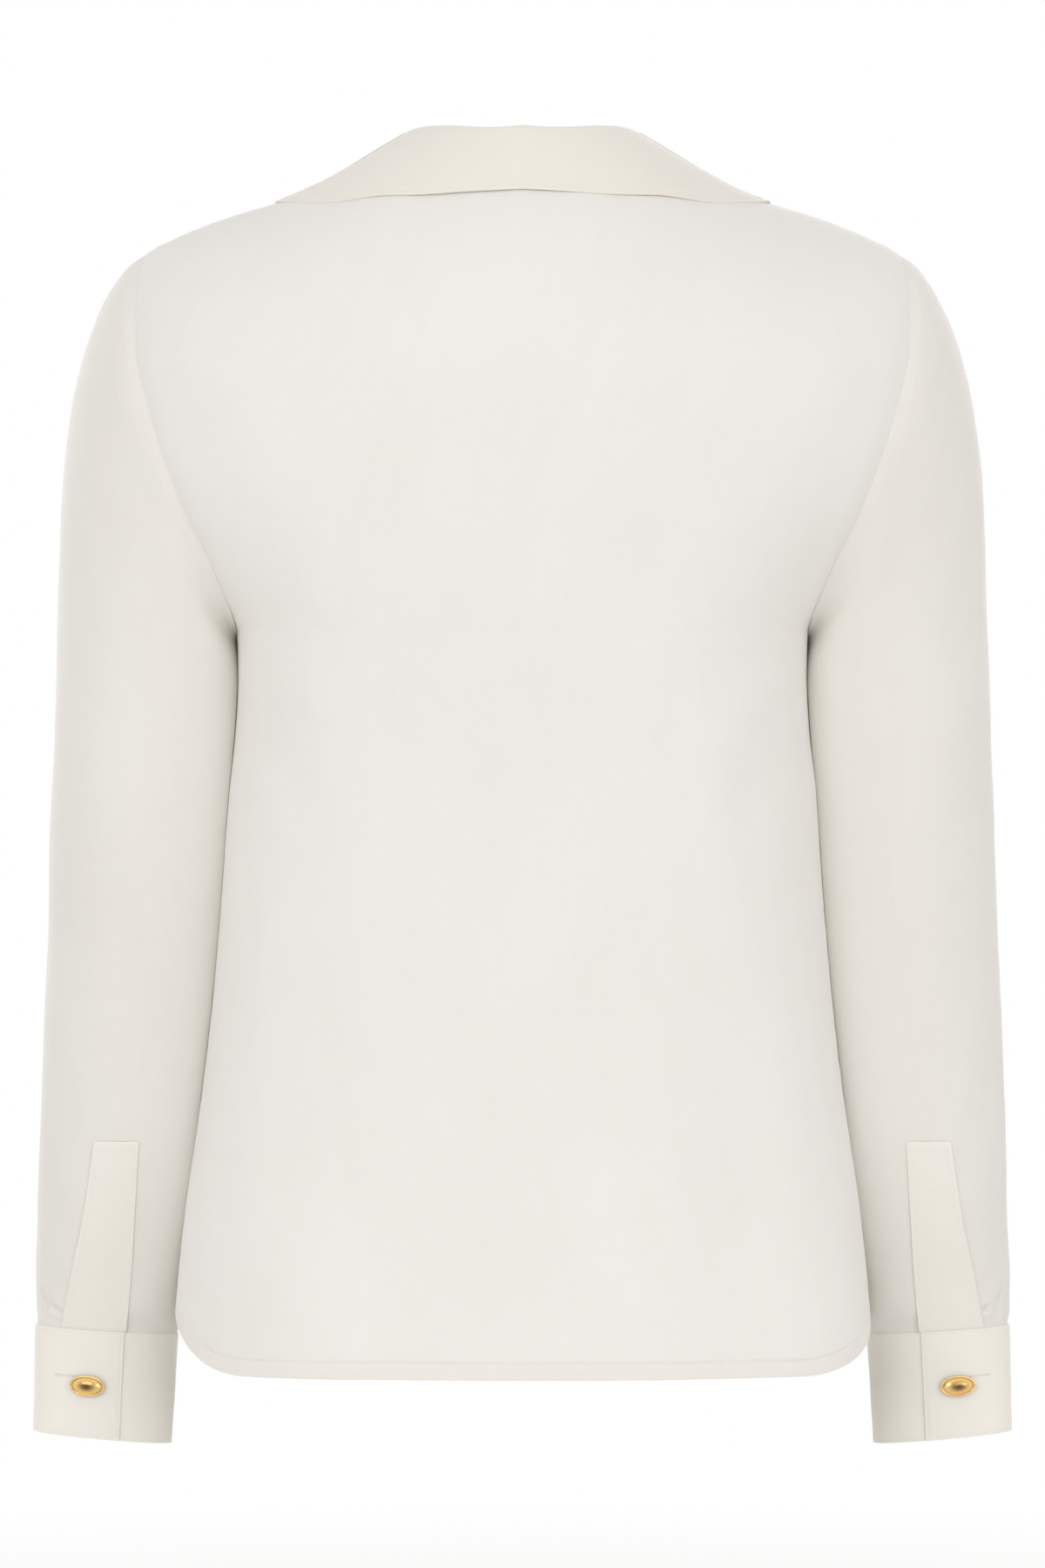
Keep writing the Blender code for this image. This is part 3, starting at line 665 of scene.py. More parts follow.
def lay_mesh(name: str, grid: Array, outward: Array, layers: Array | None = None,
             creases: Array | None = None) -> bpy.types.Object:
    """Make an open mesh over a grid of points, with a flat map of the cloth.

    Args:
        name: name of the piece.
        grid: points in millimetres, rows by columns.
        outward: a direction for each point, on the side that the faces look to.
        layers: share of extra cloth layers at each point, for the material, or none.
        creases: true at the points whose joining edges are sharp turns.

    Returns:
        The new object, at the origin.
    """
    index = np.arange(grid.shape[0] * grid.shape[1]).reshape(grid.shape[:2])
    quads = quad_faces(index[:-1, :-1], index[1:, :-1], index[1:, 1:], index[:-1, 1:])
    if np.sum(grid_normal(grid) * outward) < 0:
        quads = quads[:, ::-1]
    mesh = new_mesh(name, grid, quads.tolist())
    flat = np.stack([run_length(grid, 1), run_length(grid, 0)], axis=-1).reshape(-1, 2) * MM
    corners = np.empty(len(mesh.loops), int)
    mesh.loops.foreach_get("vertex_index", corners)
    mesh.uv_layers.new(name="cloth").data.foreach_set("uv", flat[corners].ravel())
    mark(mesh, "layers", "FLOAT", "POINT", np.zeros(index.shape) if layers is None else layers)
    if creases is not None:
        ends = np.empty(2 * len(mesh.edges), int)
        mesh.edges.foreach_get("vertices", ends)
        mark(mesh, "sharp_edge", "BOOLEAN", "EDGE", creases.ravel()[ends.reshape(-1, 2)].all(axis=1))
    return add_item(name, mesh)


def thicken(piece: bpy.types.Object, wall: float, soft_edge: float = 0.0) -> None:
    """Give a sheet its wall on the inner side, and round the wall's edges.

    Args:
        piece: the open sheet.
        wall: thickness in millimetres.
        soft_edge: radius of the rounded edges, or 0 for none.
    """
    solid = piece.modifiers.new("Wall", "SOLIDIFY")
    solid.thickness = wall * MM
    solid.offset = -1.0
    if soft_edge:
        bevel = piece.modifiers.new("Soft edge", "BEVEL")
        bevel.width = soft_edge * MM
        bevel.segments = 3
        bevel.limit_method = "ANGLE"
        bevel.angle_limit = np.radians(SHARP_TURN)


@dataclass(frozen=True)
class Stitching:
    """A row of stitches: short rounded threads along a line on the cloth."""

    pitch: float = 2.4
    length: float = 1.8
    thick: float = 0.34
    slant: float = 0.0

    def beads(self, path: Array, normals: Array) -> tuple[Array, Array]:
        """Set one bead per stitch: six-sided, thin at both ends, half sunk in the cloth.

        Args:
            path: points of the line, in millimetres.
            normals: outward directions along it.

        Returns:
            The beads' points and their quads.
        """
        length = run_length(path, 0)
        places = np.arange(self.pitch / 2, length[-1], self.pitch)
        centre = path_read(places, length, path)
        up = unit(path_read(places, length, normals))
        ahead = unit(path_read(places, length, np.gradient(path, length, axis=0)))
        beside = unit(np.cross(up, ahead))
        ahead = np.cross(beside, up)
        turn = np.radians(self.slant)
        ahead, beside = (np.cos(turn) * ahead + np.sin(turn) * beside,
                         np.cos(turn) * beside - np.sin(turn) * ahead)
        shares, girth = np.meshgrid(np.linspace(-1, 1, 6), np.arange(6) / 6 * 2 * np.pi, indexing="ij")
        radius = self.thick / 2 * (0.25 + 0.75 * np.sqrt(1 - shares ** 2 * 0.999))
        high = radius * np.sin(girth) + 0.12 * self.thick - 0.3 * self.thick * shares ** 2
        spans = ((shares * self.length / 2, ahead), (radius * np.cos(girth), beside), (high, up))
        points = centre[:, None] + sum(span.ravel()[None, :, None] * way[:, None] for span, way in spans)
        index = np.arange(36).reshape(6, 6)
        beyond = np.roll(index, -1, axis=1)
        quads = quad_faces(index[:-1], beyond[:-1], beyond[1:], index[1:])
        caps = np.array([[0, 5, 4, 3], [0, 3, 2, 1], [30, 31, 32, 33], [30, 33, 34, 35]])
        bead = np.concatenate([quads, caps])
        return points.reshape(-1, 3), (np.arange(len(places))[:, None, None] * 36 + bead).reshape(-1, 4)


StitchRow = tuple[Stitching, Array, Array]


def stitch_rows(stitching: Stitching, grid: Array, normals: Array, *picks: tuple) -> list[StitchRow]:
    """Pick lines out of a grid, each with its normals, as rows of the same stitches."""
    return [(stitching, grid[pick], normals[pick]) for pick in picks]


# ---------------------------------------------------------------- materials


class Graph:
    """A node tree with short ways to add nodes and join them."""

    def __init__(self, tree: bpy.types.NodeTree) -> None:
        """Keep the tree that the nodes go into."""
        self.tree = tree

    def feed(self, node: bpy.types.Node, inputs: dict[str | int, object]) -> bpy.types.Node:
        """Give a node its inputs: a socket is linked, and anything else is set as the value.

        Args:
            node: the node that takes them.
            inputs: sockets or values, each under its input's name or number.

        Returns:
            The same node.
        """
        for name, value in inputs.items():
            if isinstance(value, bpy.types.NodeSocket):
                self.tree.links.new(value, node.inputs[name])
            else:
                node.inputs[name].default_value = value
        return node

    def node(self, kind: str, inputs: dict[str | int, object] | None = None,
             **settings: object) -> bpy.types.Node:
        """Add a node.

        Args:
            kind: type of the node.
            inputs: what it is fed.
            **settings: its own settings.

        Returns:
            The new node.
        """
        node = self.tree.nodes.new(kind)
        for name, value in settings.items():
            setattr(node, name, value)
        return self.feed(node, inputs or {})

    def math(self, operation: str, first: object, second: object = 0.0) -> bpy.types.NodeSocket:
        """Add a Math node and return its result."""
        return self.node("ShaderNodeMath", {0: first, 1: second}, operation=operation).outputs[0]

    def drawn(self, where: object, scale: tuple[float, float, float]) -> bpy.types.NodeSocket:
        """Add a Mapping node that draws a pattern out along the axes of small scale."""
        return self.node("ShaderNodeMapping", {"Vector": where, "Scale": scale}).outputs[0]

    def noise(self, where: object, scale: float, detail: float = 2.0) -> bpy.types.NodeSocket:
        """Add a noise texture and return its value."""
        inputs = {"Vector": where, "Scale": scale, "Detail": detail, "Roughness": 0.55}
        return self.node("ShaderNodeTexNoise", inputs).outputs["Fac"]

    def fit(self, value: object, start: tuple[float, float],
            end: tuple[float, float] = (0.0, 1.0)) -> bpy.types.NodeSocket:
        """Add a Map Range node that carries one range of values to another.

        Args:
            value: what is carried.
            start: range that it comes in.
            end: range that it is carried to.

        Returns:
            The node's result.
        """
        inputs = {"Value": value, "From Min": start[0], "From Max": start[1],
                  "To Min": end[0], "To Max": end[1]}
        return self.node("ShaderNodeMapRange", inputs).outputs[0]

    def mix(self, share: object, first: object, second: object) -> bpy.types.NodeSocket:
        """Mix two colours and return the result."""
        return self.node("ShaderNodeMix", {0: share, 6: first, 7: second}, data_type="RGBA").outputs[2]

    def bump(self, strength: object, distance: float, height: object) -> bpy.types.NodeSocket:
        """Add a Bump node of a depth in metres and return its normal."""
        inputs = {"Strength": strength, "Distance": distance, "Height": height}
        return self.node("ShaderNodeBump", inputs).outputs[0]

    def seen(self, *rays: str) -> bpy.types.NodeSocket:
        """Give 1 for the rays of any of the named kinds, and 0 for the others.

        Args:
            *rays: names of the Light Path node's outputs.

        Returns:
            The mask.
        """
        kinds = self.node("ShaderNodeLightPath").outputs
        total = kinds[rays[0]]
        for ray in rays[1:]:
            total = self.math("MAXIMUM", total, kinds[ray])
        return total


def new_group(name: str, inputs: dict[str, tuple[str, object]],
              outputs: dict[str, str]) -> tuple[Graph, bpy.types.Node, bpy.types.Node]:
    """Start a shader group with named sockets.

    Args:
        name: name of the group.
        inputs: kind and default of each input.
        outputs: kind of each output.

    Returns:
        The group's graph, its input node and its output node.
    """
    tree = bpy.data.node_groups.new(name, "ShaderNodeTree")
    for title, (kind, value) in inputs.items():
        tree.interface.new_socket(title, in_out="INPUT", socket_type=kind).default_value = value
    for title, kind in outputs.items():
        tree.interface.new_socket(title, in_out="OUTPUT", socket_type=kind)
    graph = Graph(tree)
    return graph, graph.node("NodeGroupInput"), graph.node("NodeGroupOutput")


def new_material(name: str) -> tuple[bpy.types.Material, Graph, bpy.types.Node]:
    """Start a material, and return it with its graph and its Principled shader.

    Args:
        name: name of the material.

    Returns:
        The material, its graph and its Principled shader.
    """
    material = bpy.data.materials.new(name)
    material.use_nodes = True
    return material, Graph(material.node_tree), material.node_tree.nodes["Principled BSDF"]


def crepe_group() -> bpy.types.NodeTree:
    """Crepe cloth: a pebbled grain along the flat map, fine threads across it, and slow cloudy tones.

    Returns:
        The group, with the cloth's colour, roughness and normal.
    """
    graph, given, result = new_group(
        "silk_crepe",
        {"Colour": ("NodeSocketColor", (0.8, 0.8, 0.8, 1.0)),
         "Deep colour": ("NodeSocketColor", (0.7, 0.7, 0.7, 1.0)),
         "Cloud": ("NodeSocketFloat", 0.3), "Grain": ("NodeSocketFloat", 0.3)},
        {"Colour": "NodeSocketColor", "Roughness": "NodeSocketFloat", "Normal": "NodeSocketVector"})
    place = graph.node("ShaderNodeTexCoord").outputs
    pebble = graph.noise(graph.drawn(place["UV"], (1.0, 0.55, 1.0)), 1500.0, 3.0)
    threads = graph.noise(graph.drawn(place["UV"], (1.0, 0.06, 1.0)), 1900.0, 2.0)
    slub = graph.noise(graph.drawn(place["UV"], (1.0, 0.12, 1.0)), 60.0, 4.0)
    cloud = graph.noise(place["Object"], 9.0, 3.0)
    grain = graph.math("ADD", pebble, graph.math("MULTIPLY", threads, 0.6))
    tone = graph.math("ADD", graph.math("MULTIPLY", cloud, 1.2), graph.math("MULTIPLY", slub, 0.5))
    tone = graph.math("ADD", tone, graph.math("MULTIPLY", graph.math("SUBTRACT", grain, 0.8), 0.5))
    share = graph.math("MULTIPLY", graph.fit(tone, (0.5, 1.2)), given.outputs["Cloud"])
    graph.feed(result, {
        "Colour": graph.mix(share, given.outputs["Colour"], given.outputs["Deep colour"]),
        "Roughness": graph.fit(grain, (0.5, 1.1), (0.5, 0.72)),
        "Normal": graph.bump(given.outputs["Grain"], 0.00025, grain)})
    return graph.tree


def wear_group() -> bpy.types.NodeTree:
    """Handling marks on metal: fine scratches with soft cloudy patches.

    Returns:
        The group, with the marks' mask and normal.
    """
    graph, given, result = new_group("handled_metal", {"Amount": ("NodeSocketFloat", 0.3)},
                                     {"Mask": "NodeSocketFloat", "Normal": "NodeSocketVector"})
    place = graph.node("ShaderNodeTexCoord").outputs["Object"]
    scratch = graph.noise(graph.drawn(place, (1.0, 1.0, 14.0)), 900.0, 4.0)
    patch = graph.noise(place, 260.0, 2.0)
    amount = graph.math("MULTIPLY", given.outputs[0], 3.0)
    graph.feed(result, {
        "Mask": graph.math("MULTIPLY", graph.math("MULTIPLY", scratch, patch), amount),
        "Normal": graph.bump(0.12, 0.0001, scratch)})
    return graph.tree


def linear(colour: tuple[int, int, int]) -> tuple[float, float, float, float]:
    """Turn a display colour of 0 to 255 into linear light: ((c + 0.055) / 1.055)^2.4."""
    share = np.array(colour) / 255.0
    return (*(((share + 0.055) / 1.055) ** 2.4).tolist(), 1.0)


@dataclass(frozen=True)
class Silk:
    """Silk crepe of one tone, with the tone it takes in its clouds and over double cloth."""

    name: str
    colour: tuple[int, int, int]
    deep: tuple[int, int, int]
    double: tuple[int, int, int] = (242, 235, 227)
    cloud: float = 0.5
    grain: float = 0.35
    sheen: float = 0.12
    glow: float = 0.2

    def material(self, crepe: bpy.types.NodeTree) -> bpy.types.Material:
        """Build the material: grain and clouds from the group, and the double cloth's tone by attribute.

        Args:
            crepe: the shared cloth group.

        Returns:
            The new material.
        """
        material, graph, shader = new_material(self.name)
        cloth = graph.node("ShaderNodeGroup", {
            "Colour": linear(self.colour), "Deep colour": linear(self.deep),
            "Cloud": self.cloud, "Grain": self.grain}, node_tree=crepe).outputs
        layers = graph.node("ShaderNodeAttribute", attribute_name="layers").outputs["Fac"]
        graph.feed(shader, {
            "Base Color": graph.mix(layers, cloth["Colour"], linear(self.double)),
            "Roughness": cloth["Roughness"], "Normal": cloth["Normal"],
            "Sheen Weight": self.sheen, "Sheen Roughness": 0.4, "Specular IOR Level": 0.35,
            "Subsurface Weight": self.glow, "Subsurface Radius": (1.0, 0.9, 0.75),
            "Subsurface Scale": 0.003})
        return material


@dataclass(frozen=True)
class Thread:
    """Twisted sewing thread."""

    name: str
    colour: tuple[int, int, int]
    shade: float = 0.96

    def material(self) -> bpy.types.Material:
        """Build the material: fine twist across the thread and a soft sheen.

        Returns:
            The new material.
        """
        material, graph, shader = new_material(self.name)
        twist = graph.noise(graph.node("ShaderNodeTexCoord").outputs["Object"], 2600.0, 2.0)
        dark = tuple(int(self.shade * part) for part in self.colour)
        graph.feed(shader, {
            "Base Color": graph.mix(twist, linear(dark), linear(self.colour)),
            "Normal": graph.bump(0.3, 0.0001, twist), "Roughness": 0.5, "Sheen Weight": 0.2})
        return material


@dataclass(frozen=True)
class Gold:
    """Polished gold plate, with a painted dark reflection on its dome's top and painted shade in its groove
    and underneath.
    """

    name: str
    colour: tuple[int, int, int]
    # the dark tone of the painted reflection on the dome and of the painted shade in its groove and
    # underneath
    hollow: tuple[int, int, int]

    def material(self, wear: bpy.types.NodeTree) -> bpy.types.Material:
        """Build the material: the plate's colour darkens by an attribute of painted reflection and shade, and
        marks roughen it.

        Args:
            wear: the shared group of handling marks.

        Returns:
            The new material.
        """
        material, graph, shader = new_material(self.name)
        marks = graph.node("ShaderNodeGroup", node_tree=wear).outputs
        # painted reflection and shade: this mask darkens the plate towards brown on the dome's top, in its
        # groove and underneath
        depth = graph.node("ShaderNodeAttribute", attribute_name="hollow").outputs["Fac"]
        graph.feed(shader, {
            "Base Color": graph.mix(depth, linear(self.colour), linear(self.hollow)),
            "Roughness": graph.fit(marks["Mask"], (0.0, 1.0), (0.06, 0.3)),
            "Normal": marks["Normal"], "Metallic": 1.0})
        return material


class Wardrobe:
    """The finishes, each built once and shared by the pieces."""

    def __init__(self) -> None:
        """Build the groups and the materials."""
        crepe, wear = crepe_group(), wear_group()
        self.body = Silk("silk_crepe_body", (238, 235, 230), (229, 224, 217)).material(crepe)
        self.sleeve = Silk("silk_crepe_sleeve", (237, 233, 226), (227, 222, 213)).material(crepe)
        self.trim = Silk("silk_crepe_trim", (241, 236, 227), (235, 228, 216), grain=0.25).material(crepe)
        # painted shade: the collar has the trim's cloth in darker tones, to tone down the light on its
        # upward-facing fall
        self.collar = Silk("silk_crepe_collar_shaded", (235, 230, 221), (229, 222, 211), grain=0.25).material(crepe)
        self.thread = Thread("silk_thread", (243, 238, 228)).material()
        # the gold's second colour is painted light: a dark reflection on the dome and shade in its groove and
        # underneath
        self.gold = Gold("gold_plate", (240, 202, 134), (66, 38, 18)).material(wear)

    def dress(self, piece: bpy.types.Object, material: bpy.types.Material, slot: str,
              *nodes: str) -> bpy.types.Object:
        """Give a piece its finish, let it ride and hide the solids it stands for.

        Args:
            piece: the piece.
            material: its finish.
            slot: material slot of the part; not used.
            *nodes: solids that it replaces.

        Returns:
            The same piece.
        """
        piece.data.materials.append(material)
        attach(piece, "root")
        if nodes:
            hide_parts(*nodes)
        return piece

    def sew(self, name: str, rows: list[StitchRow]) -> bpy.types.Object:
        """Join rows of stitches into one piece of thread.

        Args:
            name: name of the piece.
            rows: stitches of each row, with its path and its normals.

        Returns:
            The new object, dressed.
        """
        points, quads, count = [], [], 0
        for stitching, path, normals in rows:
            these, faces = stitching.beads(path, normals)
            points.append(these)
            quads.append(faces + count)
            count += len(these)
        mesh = new_mesh(name, np.concatenate(points), np.concatenate(quads).tolist())
        return self.dress(add_item(name, mesh), self.thread, "silk_trim")


# ------------------------------------------------------------- body panels


@dataclass
class BodyPanel:
    """The back or the front, with its seams, folds and turned hem."""

    form: BodyForm
    panel: Panel
    folds: tuple[Fold, ...]
    seed: int
    columns: int = 78
    armhole_rows: int = 72
    side_rows: int = 104
    least_depth: float = 0.12
    # Where the relief of the cloth starts and ends, as distances from a seam or as heights.
    calm_side: Ramp = Ramp(0.0, 26.0)
    calm_top: Ramp = Ramp(0.0, 30.0)
    seam: Bell = Bell(0.0, 2.6, -0.3)
    seam_below: float = 12.0
    pucker: Wave = Wave(9.0, 0.1)
    pucker_band: Bell = Bell(5.0, 5.5, 1.0)
    pucker_start: Ramp = Ramp(0.0, 1.5)
    side_ridge: Bell = Bell(9.5, 5.0, 0.45)
    side_rise: Ramp = Ramp(-215.0, 60.0)
    swing_down: Ramp = Ramp(-455.0, -190.0)
    swing_in: Ramp = Ramp(0.0, 45.0)
    # Soft flutes towards the hem: height, length and shift of each.
    swings: tuple[tuple[float, float, float], ...] = ((1.9, 24.0, 1.0), (1.2, 15.3, 2.1))
    hem_width: float = 9.0
    hem_rise: float = 0.2
    hem_groove: Bell = Bell(8.3, 0.7, -0.34)
    hem_roll: float = 0.6
    # Rows of points by the hem, as distances from its edge: above the stitching, below it, and inside.
    rows_above: tuple[float, ...] = (12.5, 10.5, 9.4)
    rows_below: tuple[float, ...] = (6.6, 4.2, 2.2, 0.9, 0)
    rows_inside: tuple[float, ...] = (1.2, 3.5, 6.5)
    allowance_least: float = 0.8
    allowance_more: float = 5.0
    allowance_run: Ramp = Ramp(0.0, 45.0)
    allowance_below: float = 0.35
    edge_lines: tuple[float, ...] = (0, 0.2, 0.8, 1.9, 3.6, 6)
    armhole_length: float = 245.0
    half_width: float = 170.0
    neck_share: float = 0.4
    hem_lead: float = 14.5
    hem_steepest: float = 2.4
    slow: Wave = Wave(85.0, 0.5)
    fine: Wave = Wave(21.0, 0.16)
    hem_wave: Wave = Wave(8.0, 0.1)
    hem_wave_band: Bell = Bell(8.0, 6.0, 1.0)

    def spread(self, across: Array, share: Array) -> Array:
        """Space columns evenly around the oval: x shares from equal steps of the arc's turn.

        Args:
            across: places of the columns, 0 at the centre and 1 at the edge.
            share: the edge's share of the half width, one for each row.

        Returns:
            Shares of the edge's x, rows by columns.
        """
        turn = np.arcsin(np.clip(share, 0, 1) ** (self.form.squareness / 2))[:, None]
        return (np.sin(across * turn) / np.sin(turn)) ** (2 / self.form.squareness)

    def half_places(self) -> tuple[Array, Array]:
        """x and drop over one half, rows from the shoulder to the hem, columns from the centre out.

        Returns:
            Places across the body and drops without a sign, each in a grid.
        """
        form, edge_lines, split = self.form, near(*self.edge_lines), self.neck_share
        top = edge_lines / self.armhole_length
        drops = form.armhole_drops(self.panel, np.concatenate(
            [top, np.linspace(top[-1], 1, self.armhole_rows)[1:]]))
        edge = form.armhole(drops, self.panel)
        seam = 1 - edge_lines[::-1] / self.half_width
        across = np.concatenate([np.linspace(0, split, self.columns // 3, endpoint=False),
                                 np.linspace(split, seam[0], self.columns - self.columns // 3)[:-1], seam])
        neck_x, neck_drop = form.neckline(np.clip(across / split, 0, 1), self.panel)
        out = np.clip((across - split) / (1 - split), 0, 1)
        top_x = np.where(across < split, neck_x, form.neck_half + (edge[0] - form.neck_half) * out)
        top_drop = np.where(across < split, neck_drop, 0.0)
        share = (drops / drops[-1])[:, None]
        blend = ease(share * 1.3)
        even = self.spread(across, edge / form.half(form.fall(edge, drops)[0]))
        x_top = edge[:, None] * ((1 - blend) * top_x / edge[0] + blend * even)
        drop_top = top_drop + share * (form.drop(x_top, form.underarm) - top_drop)
        drop_top = drop_top + (drops[:, None] - drop_top[:, -1:]) * across ** 3
        down = np.linspace(0, 1, self.side_rows)[1:, None]
        even = self.spread(across, np.ones(1))
        last = form.half(form.side_hem) * even
        slope = form.hem_line(last + SLOPE_STEP) - form.hem_line(last - SLOPE_STEP)
        lean = np.minimum(np.sqrt(1 + slope ** 2), self.hem_steepest)
        stitched = (self.hem_groove.place + step for step in (0.5, 0.0, -0.5))
        band = near(*self.rows_above, *stitched, *self.rows_below)
        z_low = form.underarm + down * (form.hem_line(last) + self.hem_lead * lean - form.underarm)
        z_hem = form.hem_line(last) + band[:, None] * lean
        x_low, x_hem = form.half(z_low[:, -1:]) * even, form.half(z_hem[:, -1:]) * even
        x = np.concatenate([x_top, x_low, x_hem])
        drop = np.concatenate([drop_top, form.drop(x_low, z_low), form.drop(x_hem, z_hem)])
        return x, drop

    def surface(self) -> tuple[Array, Array, Array]:
        """Points, normals and hem distances of the whole panel, folds and seams included.

        Returns:
            The points, their outward directions and their distances from the hem.
        """
        half_x, half_drop = self.half_places()
        x = np.concatenate([-half_x[:, :0:-1], half_x], axis=1)
        drop = self.panel.value * np.concatenate([half_drop[:, :0:-1], half_drop], axis=1)
        points, normals = self.form.point(x, drop), self.form.normal(x, drop)
        points[..., 1] = self.panel.value * np.maximum(self.panel.value * points[..., 1], self.least_depth)
        along = run_length(points, 1)
        from_side = np.minimum(along, along[:, -1:] - along)
        down = run_length(points, 0)
        from_top, from_hem = down, down[-1] - down
        seamed = np.minimum(from_side, np.where(np.abs(x) > self.form.neck_half, from_top, FAR))
        calm = self.calm_side.at(from_side) * self.calm_top.at(from_top)
        z = points[..., 2]
        move = folded(self.folds, x, z) * calm
        move = move + self.slow.over(self.seed, calm, x, z)
        move = move + self.fine.over(self.seed + 1, calm, x, z)
        pucker = self.pucker.over(self.seed + 2, self.pucker_start.at(seamed), down, along * 0.15)
        below = Ramp(self.form.underarm, -self.seam_below).at(z)
        move = move + self.seam.over(seamed, below) + pucker * self.pucker_band.over(seamed)
        move = move + self.side_ridge.over(from_side, self.side_rise.at(z))
        swing = self.swing_down.at(z) * self.swing_in.at(from_side)
        for height, length, shift in self.swings:
            move = move + swing * height * np.sin(x / length + shift * self.seed)
        band = self.hem_rise * Ramp(self.hem_width, -0.8).at(from_hem) + self.hem_groove.over(from_hem)
        waves = self.hem_wave.over(self.seed + 3, 1.0, x, from_hem) * self.hem_wave_band.over(from_hem)
        move = move + band + waves
        return points + move[..., None] * normals, normals, from_hem

    def turned(self, points: Array, normals: Array) -> Array:
        """Rows that roll the hem under and lead it up inside: a half circle, then a straight band.

        Args:
            points: the panel's points.
            normals: their outward directions.

        Returns:
            The further rows of points.
        """
        edge, up = points[-1], unit(points[-2] - points[-1])
        out = unit(normals[-1] - np.sum(normals[-1] * up, axis=-1, keepdims=True) * up)
        turns = np.radians([30, 60, 90, 120, 150, 180])[:, None, None]
        core = edge - self.hem_roll * out
        roll = core + self.hem_roll * (np.cos(turns) * out - np.sin(turns) * up)
        rise = near(*self.rows_inside, self.hem_width)[:, None, None]
        return np.concatenate([roll, roll[-1] + rise * up])

    def build(self, wardrobe: Wardrobe) -> None:
        """Make the panel and its hem stitching.

        Args:
            wardrobe: the finishes.
        """
        points, normals, from_hem = self.surface()
        row = nearest(from_hem[:, points.shape[1] // 2], self.hem_groove.place)
        more = self.turned(points, normals)
        layers = np.concatenate([Ramp(self.hem_width, -0.9).at(from_hem), np.ones(more.shape[:2])])
        top = points[:1] - near(4.5, 1.2)[:, None, None] * normals[:1]
        grid = self.allowance(np.concatenate([top, points, more]))
        layers = np.pad(layers, ((2, 0), (1, 1)), mode="edge")
        outward = np.pad(normals, ((2, len(more)), (1, 1), (0, 0)), mode="edge")
        name = self.panel.name.lower()
        creases = np.zeros(layers.shape, bool)
        creases[:, 1] = creases[:, -2] = creases[2] = True
        outward = outward * (np.arange(len(grid)) < row)[:, None, None]
        piece = lay_mesh(f"{name}_panel", grid, outward, layers, creases)
        thicken(piece, SILK_WALL)
        wardrobe.dress(piece, wardrobe.body, "silk_body", name)
        hem = stitch_rows(Stitching(), points, normals, np.s_[row, 2:-2])
        thread = wardrobe.sew(f"{name}_hem_stitches", hem)

    def allowance(self, grid: Array) -> Array:
        """Turn the seams in: towards the armhole's middle above the underarm, and to the body's axis below.

        Args:
            grid: the panel's points, rows from the shoulder down.

        Returns:
            The grid with one more column on each side.
        """
        sides = []
        for column in (grid[:, 0], grid[:, -1]):
            upper = unit([np.sign(column[0, 0]), 1.0, 1.0] * np.array(ARMHOLE_MIDDLE) - column)
            lower = unit(UPWARD * column - column) * [1.0, 0.3, 0.0]
            height = column[:, 2]
            above = height > self.form.underarm
            away = np.abs(height - self.form.underarm)
            reach = self.allowance_least + self.allowance_more * self.allowance_run.at(away)
            reach = reach * np.where(above, 1.0, self.allowance_below)
            sides.append(column + reach[:, None] * np.where(above[:, None], upper, lower))
        return np.concatenate([sides[0][:, None], grid, sides[1][:, None]], axis=1)


BACK_FOLDS = fold_rows(
    (96, -110, 118, -430, 24, 1.2, 6), (-90, -130, -112, -470, 26, 1.1, -7),
    (34, -90, 22, -400, 17, 0.8, 3), (-26, -60, -48, -330, 19, 0.9, -4), (60, -330, 84, -610, 20, 1.3, 5),
    (-66, -380, -82, -625, 18, 1.2, -4), (6, -420, -6, -630, 22, 1.1, 3),
    (132, -400, 150, -600, 14, 0.9, 4), (-134, -430, -152, -610, 13, 0.9, -3),
    (154, -258, 84, -318, 11, 0.9, -8), (-155, -262, -92, -336, 12, 1.0, 9),
    (157, -286, 104, -372, 10, -0.8, -7), (-158, -292, -112, -384, 11, -0.8, 8),
    (186, -120, 150, -215, 17, -1.5, -6), (-186, -118, -150, -220, 17, -1.5, 6),
    (150, -60, 100, -96, 16, 0.7, 5), (-146, -56, -104, -102, 15, 0.7, -5))
FRONT_FOLDS = fold_rows(
    (88, -235, 104, -520, 18, 1.9, 7), (-84, -228, -108, -560, 20, 1.8, -8),
    (52, -300, 58, -610, 15, 1.6, 4), (-50, -330, -62, -600, 16, -1.4, -4),
    (128, -300, 140, -610, 14, 1.5, 4), (-126, -320, -144, -590, 13, 1.4, -5),
    (18, -330, 10, -620, 13, 1.3, 3), (-18, -310, -26, -520, 11, 1.0, -3),
    (152, -256, 78, -236, 12, 1.9, -10), (-154, -258, -82, -230, 12, 1.8, 10),
    (156, -276, 88, -300, 10, -1.4, -8), (-157, -280, -92, -312, 11, -1.4, 8),
    (158, -300, 112, -352, 9, 1.1, -6), (-159, -304, -110, -366, 10, 1.1, 7),
    (190, -110, 150, -200, 15, -1.6, -7), (-190, -112, -152, -206, 15, -1.6, 7),
    (176, -70, 140, -150, 12, 1.2, 5), (-178, -74, -138, -144, 12, 1.2, -5))


# ------------------------------------------------------------------- collar


